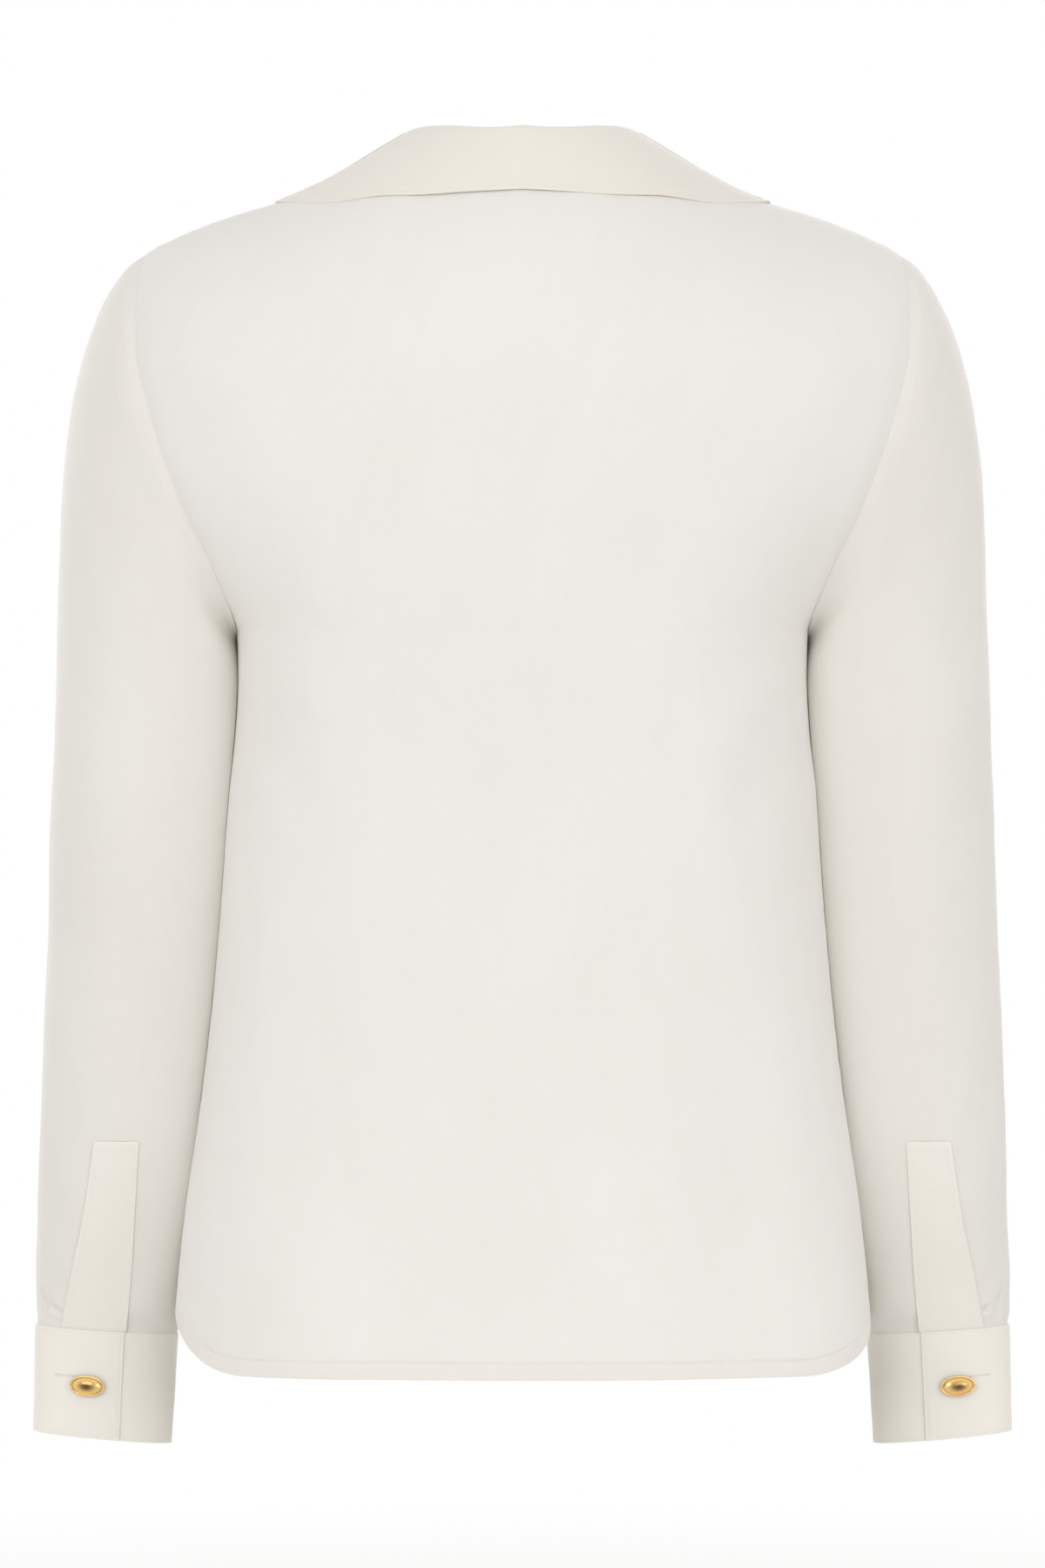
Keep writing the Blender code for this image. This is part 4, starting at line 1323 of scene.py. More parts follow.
@dataclass
class Collar:
    """The turned-down collar: a stand that rolls over and falls to a wide stitched edge."""

    form: BodyForm
    steps: int = 108
    rest: float = 1.45
    foot: float = 0.8
    seat: float = 0.75
    groove: Bell = Bell(2.8, 0.9, -0.16)
    stand_height: float = 34.0
    stitches: Stitching = Stitching(2.3, 1.8, 0.24)
    climb_rows: int = 8
    roll_rows: int = 15
    fall_rows: int = 32
    turned_rows: int = 12
    # Rows by the edge, as distances from it, and the last sections before each end, in parts of way.
    edge_lines: tuple[float, ...] = (6.5, 4.6, 3.5, 3.1, 2.8, 2.5, 2.1, 1.2, 0.5, 0)
    end_lines: tuple[float, ...] = (0.012, 0.006, 0.002, 0)
    end_start: float = 0.02
    fall_length: float = 62.0
    seed: int = 31
    middle_waves: Wave = Wave(46.0, 0.3)
    edge_waves: Wave = Wave(70.0, 0.55)
    fall_middle: Ramp = Ramp(28.0, -18.0)
    edge_reach: Ramp = Ramp(20.0, -18.0)
    ease_rounds: int = 14
    ease_share: float = 0.4
    rows: Table = Table("way neck reach lift roll sag edge_x edge_drop", (
        (0, 0, 20.8, 15, 3.2, 1, 0, 88.5), (0.3, 0.3, 19.8, 14.4, 3.2, 1.05, 44, 84),
        (0.55, 0.55, 18, 13.2, 3.1, 1.15, 84, 67), (0.78, 0.78, 15.8, 11.6, 3.1, 1.28, 117, 42),
        (1, 1, 13.4, 10.2, 3, 1.35, 136, 6), (1.2, 1.2, 10.5, 9, 2.8, 1.3, 136.5, -34),
        (1.45, 1.45, 6.5, 7.4, 2.6, 1.15, 128, -84), (1.7, 1.7, 3.8, 5.6, 2.3, 1, 109, -138),
        (1.97, 1.93, 1.6, 4.2, 1.9, 1, 82, -188)))

    def seam(self, way: Array) -> tuple[Array, Array]:
        """x and drop of the neck seam: way 0 at the centre back, 1 at the neck point, 2 at the V.

        Args:
            way: places around the neck.

        Returns:
            Places across the body, and drops with their sign.
        """
        back_x, back_drop = self.form.neckline(np.clip(way, 0, 1), Panel.BACK)
        front_x, front_drop = self.form.neckline(np.clip(2 - way, 0, 1), Panel.FRONT)
        return np.where(way <= 1, back_x, front_x), np.where(way <= 1, back_drop, -front_drop)

    def half_grid(self) -> tuple[Array, Array]:
        """Half of the collar and its outward side: stand, roll and fall, section by section.

        Returns:
            The points and their outward directions.
        """
        last = self.rows.rows[-1][0]
        way = np.concatenate([np.linspace(0, last - self.end_start, self.steps),
                              last - near(*self.end_lines)])
        row = {name: self.rows.read(name, way) for name in self.rows.columns.split()[1:]}
        neck_x, neck_drop = self.seam(row["neck"])
        seam, normal = self.form.point(neck_x, neck_drop), self.form.normal(neck_x, neck_drop)
        ahead, behind = self.seam(row["neck"] + 0.01), self.seam(row["neck"] - 0.01)
        inward = unit(np.cross(unit(self.form.point(*ahead) - self.form.point(*behind)), normal))
        inward = inward * np.sign(inward[:, 2:] - 0.2 * inward[:, :1])
        core = seam + row["reach"][:, None] * inward + row["lift"][:, None] * normal
        rest = seam + self.seat * inward + self.foot * normal
        up = unit(core - rest)
        out = unit(np.cross(up, np.cross(inward, normal)))
        out = out * np.sign(np.sum(out * (normal - 0.3 * inward), axis=-1, keepdims=True))
        radius = row["roll"][:, None]
        shares = np.linspace(0, 1, self.climb_rows + 1)[:-1]
        climb = [rest + share * (core - radius * out - rest) for share in shares]
        turns = np.radians(np.linspace(180, 0, self.roll_rows))
        roll = [core + radius * (np.cos(turn) * out + np.sin(turn) * up) for turn in turns]
        lean = roll[-1] - seam
        fall = []
        edge_shares = 1 - near(*self.edge_lines) / self.fall_length
        plain = np.linspace(0, edge_shares[0], self.fall_rows + 2)[1:-1]
        for share in np.concatenate([plain, edge_shares]):
            x = neck_x + share * (row["edge_x"] - neck_x)
            drop = neck_drop + share * (row["edge_drop"] - neck_drop)
            held = (1 - share) ** row["sag"][:, None]
            stand_off = self.rest * share * self.form.normal(x, drop)
            fall.append(self.form.point(x, drop) + held * lean + stand_off)
        grid = np.array(climb + roll + fall)
        grid[:, 0, 0] = 0.0
        facing = np.where(np.arange(len(grid)) < self.turned_rows, -1.0, 1.0)
        return self.relaxed(grid), facing[:, None, None] * out

    def relaxed(self, grid: Array) -> Array:
        """Ease the kinks between stand, roll and fall: average each row above the edge with its neighbours.

        Args:
            grid: the collar's points.

        Returns:
            The same grid, eased.
        """
        kept = len(self.edge_lines)
        for _ in range(self.ease_rounds):
            grid[1:-kept] += self.ease_share * ((grid[:-kept - 1] + grid[2:1 - kept]) / 2 - grid[1:-kept])
        return grid

    def build(self, wardrobe: Wardrobe) -> None:
        """Make the collar with its edge stitching.

        Args:
            wardrobe: the finishes.
        """
        half, out = self.half_grid()
        grid = np.concatenate([half[:, :0:-1] * [-1, 1, 1], half], axis=1)
        outward = np.concatenate([out[:, :0:-1] * [-1, 1, 1], out], axis=1)
        along, down = run_length(grid, 1), run_length(grid, 0)
        from_edge = down[-1] - down
        from_end = np.minimum(along, along[:, -1:] - along)
        normals = grid_normal(grid)
        normals = normals * np.sign(np.sum(normals * outward))
        inner = np.minimum(from_edge, np.where(down > self.stand_height, from_end, FAR))
        middle = self.fall_middle.at(np.abs(from_edge - self.fall_middle.start))
        move = self.middle_waves.over(self.seed, middle, along, down)
        move = move + self.edge_waves.over(self.seed + 1, self.edge_reach.at(from_edge), along, down * 0.3)
        move = move + self.groove.over(inner)
        grid = grid + move[..., None] * normals
        piece = lay_mesh("collar_cloth", grid, outward)
        thicken(piece, DOUBLE_WALL, SOFT_EDGE)
        wardrobe.dress(piece, wardrobe.collar, "silk_trim", "collar")
        row = nearest(from_edge[:, grid.shape[1] // 2], self.groove.place)
        start = nearest(down[:, 0], self.stand_height + 2)
        first = nearest(along[-20], self.groove.place)
        last = grid.shape[1] - 1 - first
        thread = wardrobe.sew("collar_stitches", stitch_rows(
            self.stitches, grid, normals, np.s_[row, first:last + 1],
            np.s_[start:row + 1, first], np.s_[start:row + 1, last]))


# ------------------------------------------------------------------ buttons


@dataclass(frozen=True)
class OvalButton:
    """An oval domed metal button with a rolled rim, sewn on through a hidden shank."""

    length: float = 20.0
    width: float = 11.3
    rings: int = 71
    spokes: int = 72
    # the last column is painted light: a dark reflection on the dome's top, and shade in the ring groove and
    # under the rim
    profile: Table = Table("t radius height hollow", (
        (0, 0.0, 4.1, 0.9), (1, 0.16, 4.06, 0.85), (2, 0.34, 3.86, 0.6), (3, 0.52, 3.46, 0.2),
        (4, 0.68, 2.9, 0.02), (5, 0.78, 2.35, 0.1), (6, 0.83, 2.05, 0.45), (7, 0.87, 2.1, 0.4),
        (8, 0.92, 2.4, 0.05), (9, 0.965, 2.35, 0), (10, 1.0, 1.75, 0.1), (11, 0.985, 1.05, 0.5),
        (12, 0.9, 0.6, 0.8), (13, 0.5, 0.45, 1), (14, 0.0, 0.45, 1)))

    def build(self, name: str, place: Array, across: Array, facing: Array, scale: float) -> bpy.types.Object:
        """Turn the profile around the facing axis and narrow it across the length.

        Args:
            name: name of the piece.
            place: foot of the button on the cloth.
            across: direction of its length.
            facing: outward direction.
            scale: size against the cuff's button.

        Returns:
            The new object.
        """
        across = unit(across)
        facing = unit(facing - np.sum(facing * across) * across)
        beside = np.cross(facing, across)
        t = np.linspace(0.0, self.profile.rows[-1][0], self.rings)[:, None]
        turn = np.linspace(0, 2 * np.pi, self.spokes + 1)[None, :-1]
        radius = np.maximum(self.profile.read("radius", t), 0.002) * scale
        height = self.profile.read("height", t)[..., None] * scale
        along, aside = radius * np.cos(turn) * self.length / 2, radius * np.sin(turn) * self.width / 2
        points = place + along[..., None] * across + aside[..., None] * beside + height * facing
        index = np.arange(self.rings * self.spokes).reshape(self.rings, self.spokes)
        beyond = np.roll(index, -1, axis=1)
        quads = quad_faces(index[:-1], index[1:], beyond[1:], beyond[:-1])
        mesh = new_mesh(name, points, quads.tolist() + [index[0].tolist(), index[-1, ::-1].tolist()])
        # painted reflection and shade, kept on the button for the gold's colour
        hollow = np.repeat(self.profile.read("hollow", t), self.spokes, axis=1)
        mark(mesh, "hollow", "FLOAT", "POINT", hollow)
        return add_item(name, mesh)


SLOT_STITCHES = Stitching(0.5, 0.7, 0.2, 90.0)
BAR_STITCHES = Stitching(0.5, 0.8, 0.2, 90.0)
SLOT_HALF = 0.34            # from the middle of a buttonhole to its stitches
BAR_HALF = 0.8              # half the length of the bar at its end


def buttonhole(centre: Array, along: Array, across: Array, facing: Array, length: float) -> list[StitchRow]:
    """Rows of close cross stitches on both sides of a slot, with a bar at each end.

    Args:
        centre: middle of the slot on the cloth.
        along: its direction.
        across: the direction across it.
        facing: outward direction.
        length: length of the slot in millimetres.

    Returns:
        Stitch rows, each with its path and its normals.
    """
    rows = []
    slot = np.linspace(-0.5, 0.5, 12)[:, None] * length * along
    bar = np.linspace(-BAR_HALF, BAR_HALF, 8)[:, None] * across
    for side in (-1.0, 1.0):
        edge = centre + slot + side * SLOT_HALF * across
        end = centre + side * length / 2 * along + bar
        rows.append((SLOT_STITCHES, edge, np.repeat(facing[None], len(edge), axis=0)))
        rows.append((BAR_STITCHES, end, np.repeat(facing[None], len(end), axis=0)))
    return rows


# ------------------------------------------------------------ front placket


@dataclass
class FrontPlacket:
    """The band below the V, stitched round and closed with three small buttons."""

    form: BodyForm
    half_width: float = 14.0
    top: float = -137.0
    foot: float = -290.0
    box_height: float = 14.0
    button_heights: tuple[float, ...] = (-158.0, -207.0, -256.0)
    button_scale: float = 0.75
    hole_length: float = 17.0
    stitches: Stitching = Stitching(2.2, 1.7, 0.24)
    edge_lines: tuple[float, ...] = (0, 0.6, 1.3, 1.8, 2.3, 3.2)
    stitch_row: int = 3
    seed: int = 51
    waves: Wave = Wave(24.0, 0.12)
    groove: Bell = Bell(1.8, 0.6, -0.1)
    dimple: Bell = Bell(0.0, 7.0, -0.35)
    dimple_stretch: float = 1.6

    def build(self, wardrobe: Wardrobe) -> None:
        """Make the band, its stitching, its buttonholes and its buttons.

        Args:
            wardrobe: the finishes.
        """
        edge, line = near(*self.edge_lines), self.stitch_row
        half, inside = self.half_width, self.half_width - 4
        x = np.concatenate([-half + edge, np.linspace(-inside, inside, 21), half - edge[::-1]])
        z = np.concatenate([self.top - edge, np.linspace(self.top - 5, self.foot + 5, 70),
                            self.foot + edge[::-1]])
        x, z = np.broadcast_arrays(x[None, :], z[:, None])
        drop = -self.form.drop(x, z)
        normals = self.form.normal(x, drop)
        inner = np.minimum(half - np.abs(x), np.minimum(self.top - z, z - self.foot))
        pull = sum(self.dimple.over(np.hypot(x / self.dimple_stretch, z - height))
                   for height in self.button_heights)
        move = BAND_LIFT + self.groove.over(inner) + pull + self.waves.over(self.seed, 1.0, x, z)
        grid = self.form.point(x, drop) + move[..., None] * normals
        piece = lay_mesh("front_placket_band", grid, normals)
        thicken(piece, BAND_WALL, BAND_EDGE)
        wardrobe.dress(piece, wardrobe.trim, "silk_trim", "front_placket")
        low = nearest(z[:, 0], self.foot + self.box_height)
        rows = stitch_rows(self.stitches, grid, normals, np.s_[line:-line, line],
                           np.s_[line:-line, -1 - line], np.s_[-1 - line, line:-line], np.s_[low, line:-line])
        middle = grid.shape[1] // 2
        for number, height in enumerate(self.button_heights, start=1):
            at = nearest(z[:, 0], height)
            place, facing = grid[at, middle], normals[at, middle]
            rows += buttonhole(place + facing * HOLE_LIFT, UPWARD, ACROSS, facing, self.hole_length)
            button = OvalButton().build(
                f"front_button_{number}_gold", place, ACROSS, facing, self.button_scale)
            wardrobe.dress(button, wardrobe.gold, "gold", f"front_button_{number}")
        thread = wardrobe.sew("front_placket_stitches", rows)


# --------------------------------------------------------------------- arms


ARM_FOLDS = fold_rows(
    (3.85, -318, 5.25, -366, 9, -2.6, -6), (3.95, -342, 5.4, -390, 8, 1.8, -6),
    (3.7, -372, 5.05, -418, 9, -2.2, -5), (4.1, -402, 5.35, -446, 8, 1.5, -4),
    (4.2, -440, 5.2, -474, 8, -1.4, -3), (4.6, -268, 5.9, -352, 12, 1.2, 6),
    (5.6, -150, 5.9, -300, 14, 1.1, 4), (0.5, -120, 0.62, -290, 15, 0.8, -3),
    (5.1, -200, 5.3, -300, 12, -1.2, 4), (1.25, -170, 1.5, -300, 16, 0.7, 4),
    (2.45, -285, 1.75, -380, 12, -1.0, 5), (0.2, -420, 0.35, -560, 12, 0.9, 3),
    (5.9, -430, 5.7, -560, 11, 1.0, -3), (2.04, -530, 2.16, -637, 5.5, -0.9, 1),
    (2.2, -545, 2.3, -634, 4.5, 0.6, 0), (2.12, -626, 2.34, -617, 1.5, 1.0, 0.4),
    (0.69, -616.5, 1.03, -623.5, 1.6, -1.7, -0.9), (0.42, -606, 0.54, -620, 1.6, -1.5, 0.3),
    (2.75, -575, 2.9, -640, 5, 1.5, 1), (3.2, -560, 3.35, -640, 5, -1.9, -1),
    (3.75, -585, 3.7, -640, 4.5, 1.7, 1), (4.25, -555, 4.1, -642, 5, -2.1, 2),
    (4.65, -590, 4.75, -642, 4, 1.6, -1), (5.15, -560, 5.05, -642, 5, -2.0, 1),
    (5.6, -590, 5.65, -642, 4, 1.5, -1), (6.1, -570, 6.0, -642, 5, -1.6, 1),
    (0.62, -610, 0.45, -640, 3, -1.6, 1))
ARM_RADIUS = 44.0           # turns a fold's place around the arm into millimetres


@dataclass
class Sleeve:
    """A sleeve with its slit, placket, cuff and button; the right one mirrors the left."""

    # Turns run around the arm, from its top over its back. Those of the cuff's two ends and of the
    # placket are in degrees, and the others in radians.
    arm: ArmForm
    side: Side
    slit_turn: float = np.pi * 5 / 9
    slit_level: float = 13.0
    lap: float = 1.3
    lap_end: float = 106.0
    corner_turn: float = 2.39
    cuff_start: float = 58.0
    # Across the cuff's top and its foot: x and z of the inner side, x and z of the outer side, depth
    # from front to back, and y of the middle.
    cuff_top: tuple[float, ...] = (191.8, -634.6, 271.6, -629.6, 56.5, -55.0)
    cuff_foot: tuple[float, ...] = (195.6, -695.8, 273.0, -688.8, 53.5, -56.5)
    placket: Table = Table("level outer inner", (
        (12.9, 73.5, 104), (14, 68, 105.5), (15, 60.5, 107), (16, 52, 107)))
    button_turn: float = np.radians(77.5)
    button_share: float = 0.52
    button_lift: float = 0.3
    hole_length: float = 15.0
    hole_away: float = 13.0
    cuff_radius: float = 34.0
    cuff_height: float = 60.5
    cuff_middle: tuple[float, float, float] = (232.0, -55.0, 0.0)
    # The two arms' waves differ: a seed and a sway of the folds for each, and a seed for each cuff.
    sways: tuple[tuple[int, float], ...] = ((61, 0.05), (67, -0.06))
    cuff_seeds: tuple[int, int] = (91, 95)
    pucker_seed: int = 71
    band_seed: int = 81
    # Where the relief starts and ends down the arm, in levels, and around it, in radians.
    fold_start: Ramp = Ramp(0.0, 3.0)
    slow_start: Ramp = Ramp(0.0, 4.0)
    fine_start: Ramp = Ramp(0.0, 2.0)
    pucker_band: Bell = Bell(5.0, 5.0, 1.0)
    pucker_start: Ramp = Ramp(0.0, 1.5)
    fold_end: Ramp = Ramp(15.75, 0.25)
    cuffed: Ramp = Ramp(15.55, 0.4)
    lap_margin: float = 0.1
    lap_run: float = 1.2
    sunk: Ramp = Ramp(15.7, 0.3)
    sink: float = 0.35
    slit_half: float = 0.4
    slit_opening: float = 0.5
    bed_start: Ramp = Ramp(12.6, 0.4)
    bed_margin: float = 0.1
    bed_edge: float = 0.12
    bed_depth: float = 0.2
    inner_turns: Ramp = Ramp(1.65, -0.6)
    inner_start: Ramp = Ramp(4.5, 1.5)
    corner_start: Ramp = Ramp(5.0, 1.2)
    corner_free: float = 0.04
    corner_lines: tuple[float, ...] = (-0.016, -0.005, 0, 0.005, 0.016)
    bend_turn: float = 1.3 * np.pi
    band_foot_in: float = 0.9
    band_foot_down: float = 0.8
    rung_groove: Bell = Bell(3.6, 0.9, -0.1)
    cross_groove: Bell = Bell(28.0, 0.8, -0.12)
    cuff_groove: Bell = Bell(1.6, 0.6, -0.12)
    cuff_lines: tuple[float, ...] = (0, 0.5, 1.1, 1.6, 2.1, 3.0)
    cuff_stitch_row: int = 3
    slow: Wave = Wave(75.0, 0.5)
    fine: Wave = Wave(19.0, 0.16)
    pucker: Wave = Wave(9.0, 0.1)
    band_waves: Wave = Wave(16.0, 0.08)
    cuff_waves: Wave = Wave(33.0, 0.22)
    cuff_edge_waves: Wave = Wave(11.0, 0.1)
    cuff_stitches: Stitching = Stitching(2.2, 1.7, 0.24)
    band_stitches: Stitching = Stitching(1.85, 1.4, 0.24)
    rungs: Stitching = Stitching(1.85, 2.6, 0.24, 90.0)

    @property
    def flip(self) -> Array:
        """The mirror of this side."""
        return np.array([self.side.value, 1.0, 1.0])

    def relief(self, level: Array, turn: Array, points: Array) -> Array:
        """Height of the folds, kept under the placket and fading at the seams.

        Args:
            level: levels, 0 at the armhole and 16 at the cuff.
            turn: turns around the arm, from its top over its back.
            points: places on the plain sleeve.

        Returns:
            Heights in millimetres.
        """
        turn = np.mod(turn, 2 * np.pi)
        z = points[..., 2]
        seed, sway = self.sways[0 if self.side is Side.LEFT else 1]
        around = (turn + sway * np.sin(z / 60.0)) * ARM_RADIUS
        folds = tuple(fold.laid_out(ARM_RADIUS, 1.0 if (number + seed) % 3 else 0.75)
                      for number, fold in enumerate(ARM_FOLDS))
        girth, axes = 2 * np.pi * ARM_RADIUS, np.moveaxis(points, -1, 0)
        height = sum(folded(folds, around + lap * girth, z) for lap in (-1, 0, 1))
        height = height * self.fold_start.at(level)
        height = height + self.slow.over(seed, self.slow_start.at(level), *axes)
        height = height + self.fine.over(seed + 1, self.fine_start.at(level), *axes)
        outer = np.radians(self.placket.read("outer", level)) - self.bed_margin
        inner = np.radians(self.placket.read("inner", level)) + self.bed_margin
        under = self.bed_start.at(level) * ease((turn - outer) / self.bed_edge)
        under = under * ease((inner - turn) / self.bed_edge)
        height = height * (1 - under) - self.bed_depth * under
        return height * (1 - self.inner_turns.at(np.abs(turn - np.pi)) * self.inner_start.at(level))

    def columns(self, level: Array) -> Array:
        """Turn of each column at each level: one keeps to the corner where the arm meets the body.

        Args:
            level: levels, 0 at the armhole and 16 at the cuff.

        Returns:
            Turns, levels by columns.
        """
        first, corner, bend, last = knots = np.array(
            [self.slit_turn, self.corner_turn, self.bend_turn, self.slit_turn + 2 * np.pi])
        base = np.concatenate([np.linspace(first, corner - self.corner_free, 12),
                               corner + near(*self.corner_lines),
                               np.linspace(corner + self.corner_free, bend, 46),
                               np.linspace(bend, last, 92)[1:]])
        pull = self.corner_start.at(level)
        met = corner + pull * (self.arm.corner(level, corner) - corner)
        return np.array([np.interp(base, knots, [knots[0], turn, *knots[2:]]) for turn in met])

    def build_sleeve(self, wardrobe: Wardrobe) -> None:
        """Make the sleeve: a tube from the armhole to the cuff, open along its slit.

        Args:
            wardrobe: the finishes.
        """
        level = np.concatenate([near(0, 0.03, 0.09, 0.2, 0.36), np.linspace(0.6, 14.8, 140),
                                np.linspace(14.84, 15.96, 29), near(16)])[:, None]
        turn = self.columns(level[:, 0])
        points, normals = self.arm.point(level, turn), self.arm.normal(np.clip(level, 0.05, 15.95), turn)
        move = self.relief(level, turn, points)
        from_top = run_length(points, 0)
        pucker = self.pucker.over(self.pucker_seed, 1.0, *np.moveaxis(points, -1, 0))
        move = move + pucker * self.pucker_band.over(from_top) * self.pucker_start.at(from_top)
        move = move * (1 - self.fold_end.at(level))
        move = move - self.cuffed.at(level) * self.covered(turn) - self.sink * self.sunk.at(level)
        points = points + move[..., None] * normals
        half = self.slit_half * Ramp(self.slit_level, self.slit_opening).at(level[:, 0])
        run = unit(points[:, 1] - points[:, -2])
        points[:, 0] += half[:, None] * run
        points[:, -1] -= half[:, None] * run
        tucked = points[-1:] - near(0.9, 1.8)[:, None, None] * UPWARD
        turned = points[:1] + near(5.0, 1.2)[:, None, None] * unit(np.array(ARMHOLE_MIDDLE) - points[:1])
        grid = np.concatenate([turned, points, tucked]) * self.flip
        outward = np.pad(normals, ((2, 2), (0, 0), (0, 0)), mode="edge") * self.flip
        creases = np.zeros(grid.shape[:2], bool)
        creases[2] = True
        piece = lay_mesh(f"sleeve_cloth_{self.side.word}", grid, outward, creases=creases)
        weld = piece.modifiers.new("Weld", "WELD")
        weld.merge_threshold = 0.02 * MM
        thicken(piece, SILK_WALL)
        wardrobe.dress(piece, wardrobe.sleeve, "silk_sleeve", f"sleeve_{self.side.word}")

    def build_placket(self, wardrobe: Wardrobe) -> None:
        """Make the sleeve placket: a tapering band over the slit, with a stitched edge.

        Args:
            wardrobe: the finishes.
        """
        low, high = self.placket.rows[0][0], self.placket.rows[-1][0]
        level = np.concatenate([low + near(0, 0.03, 0.07, 0.11), np.linspace(low + 0.16, high, 74)])[:, None]
        outer, inner = self.placket.read("outer", level), self.placket.read("inner", level)
        share = np.concatenate([near(0, 0.035, 0.07, 0.11, 0.16), np.linspace(0.22, 0.88, 20),
                                near(0.93, 0.965, 1)])
        turn = np.radians(outer + (inner - outer) * share[None, :])
        level, turn = np.broadcast_arrays(level, turn)
        normals = self.arm.normal(level, turn)
        height = BAND_LIFT + self.band_waves.over(self.band_seed, 1.0, level * 40, turn * 50)
        bed = self.arm.point(level, turn) + height[..., None] * normals
        step = run_length(bed, 1)
        from_edge, from_top = np.minimum(step, step[:, -1:] - step), run_length(bed, 0)
        groove = self.rung_groove.over(step) + self.cross_groove.over(from_top, ease(from_edge / 2))
        grid = (bed + groove[..., None] * normals) * self.flip
        grid[-1] -= self.band_foot_in * normals[-1] * self.flip + self.band_foot_down * UPWARD
        normals = normals * self.flip
        piece = lay_mesh(f"sleeve_placket_band_{self.side.word}", grid, normals)
        thicken(piece, BAND_WALL, BAND_EDGE)
        wardrobe.dress(piece, wardrobe.trim, "silk_trim", f"sleeve_placket_{self.side.word}")
        cross = nearest(from_top[:, 0], self.cross_groove.place)
        rows = stitch_rows(self.band_stitches, grid, normals, np.s_[2:, 3], np.s_[2:cross + 1, -3],
                           np.s_[3, 1:-2], np.s_[cross, 1:-2])
        rows += stitch_rows(self.rungs, grid, normals, np.s_[cross + 4:, 1])
        thread = wardrobe.sew(f"sleeve_placket_stitches_{self.side.word}", rows)

    def covered(self, turn: Array) -> Array:
        """How far the cloth steps in under the cuff's overlap: the whole lap where it is covered."""
        return self.lap * (1 - ease((turn - np.radians(self.lap_end) - self.lap_margin) / self.lap_run))

    def cuff(self, share: Array, turn: Array) -> Array:
        """Points of the cuff's outer face: an oval that steps in where its covered end lies.

        Args:
            share: shares of the way down the cuff.
            turn: turns around the arm, from its top over its back.

        Returns:
            Points in millimetres.
        """
        row = [top + (foot - top) * share for top, foot in zip(self.cuff_top, self.cuff_foot)]
        under_x, under_z, over_x, over_z, depth, forward = row
        inset = self.covered(turn)
        x, z = span(under_x, over_x, np.cos(turn), inset), span(under_z, over_z, np.cos(turn))
        return np.stack(np.broadcast_arrays(x, forward + (depth / 2 - inset) * np.sin(turn), z), axis=-1)

    def build_cuff(self, wardrobe: Wardrobe) -> None:
        """Make the cuff with its edge stitching, its buttonhole and its button.

        Args:
            wardrobe: the finishes.
        """
        start, end = np.radians(self.cuff_start), np.radians(360 + self.lap_end)
        rim, line = near(*self.cuff_lines), self.cuff_stitch_row
        around, down = rim / self.cuff_radius, rim / self.cuff_height
        turn = np.concatenate([start + around, np.linspace(start + 0.12, end - 0.12, 170),
                               end - around[::-1]])[None, :]
        share = np.concatenate([down, np.linspace(0.075, 0.925, 34), 1 - down[::-1]])[:, None]
        grid = self.cuff(share, turn)
        normals = grid_normal(grid)
        normals = normals * np.sign(np.sum(normals * ((grid - self.cuff_middle) * [1, 1, 0])))
        along, down = run_length(grid, 1), run_length(grid, 0)
        inner = np.minimum(np.minimum(along, along[:, -1:] - along), np.minimum(down, down[-1] - down))
        seed = self.cuff_seeds[0 if self.side is Side.LEFT else 1]
        move = self.cuff_groove.over(inner) + self.cuff_waves.over(seed, ease(inner / 6), along, down)
        edge_waves = self.cuff_edge_waves.over(seed + 1, ease(inner / 2), along, down)
        move = move + edge_waves * bump(inner - 2, 6)
        grid = (grid + move[..., None] * normals) * self.flip
        normals = normals * self.flip
        piece = lay_mesh(f"cuff_cloth_{self.side.word}", grid, normals)
        thicken(piece, DOUBLE_WALL, SOFT_EDGE)
        wardrobe.dress(piece, wardrobe.trim, "silk_trim", f"cuff_{self.side.word}")
        rows = stitch_rows(self.cuff_stitches, grid, normals, np.s_[line, line:-line],
                           np.s_[-1 - line, line:-line], np.s_[line:-line, -1 - line])
        at = nearest(turn[0], self.button_turn + 2 * np.pi)
        level = nearest(share[:, 0], self.button_share)
        facing = normals[level, at]
        across = unit(grid[level, at - 1] - grid[level, at + 1])
        high = level - 3
        hole = nearest(along[high], along[high, at] - self.hole_away)
        way = unit(grid[high, hole - 2] - grid[high, hole + 2])
        up = normals[high, hole]
        rows += buttonhole(grid[high, hole] + HOLE_LIFT * up, way, np.cross(up, way), up, self.hole_length)
        place = grid[level, at] + self.button_lift * facing
        button = OvalButton().build(f"cuff_button_{self.side.word}_gold", place, across, facing, 1.0)
        wardrobe.dress(button, wardrobe.gold, "gold", f"cuff_button_{self.side.word}")
        thread = wardrobe.sew(f"cuff_stitches_{self.side.word}", rows)

    def build(self, wardrobe: Wardrobe) -> None:
        """Make the whole arm.

        Args:
            wardrobe: the finishes.
        """
        self.build_sleeve(wardrobe)
        self.build_placket(wardrobe)
        self.build_cuff(wardrobe)


# ------------------------------------------------------------------- studio

WHITE = (1.0, 1.0, 1.0, 1.0)
SOFT_WHITE = (1.0, 0.995, 0.985, 1.0)
PALE = (0.86, 0.86, 0.85, 1.0)


@dataclass(frozen=True)
class Lamp:
    """One soft area lamp that looks at the middle of the shirt. Places and sizes are in metres."""

    name: str
    place: tuple[float, float, float]
    size: float
    power: float

    def build(self, aim: Array) -> None:
        """Set up the lamp and turn it to the aim.

        Args:
            aim: the point that it lights.
        """
        light = bpy.data.lights.new(self.name, "AREA")
        light.shape = "DISK"
        light.size = self.size
        light.energy = self.power
        item = add_item(self.name, light)
        item.location = self.place
        item.rotation_euler = look(np.array(self.place), aim)


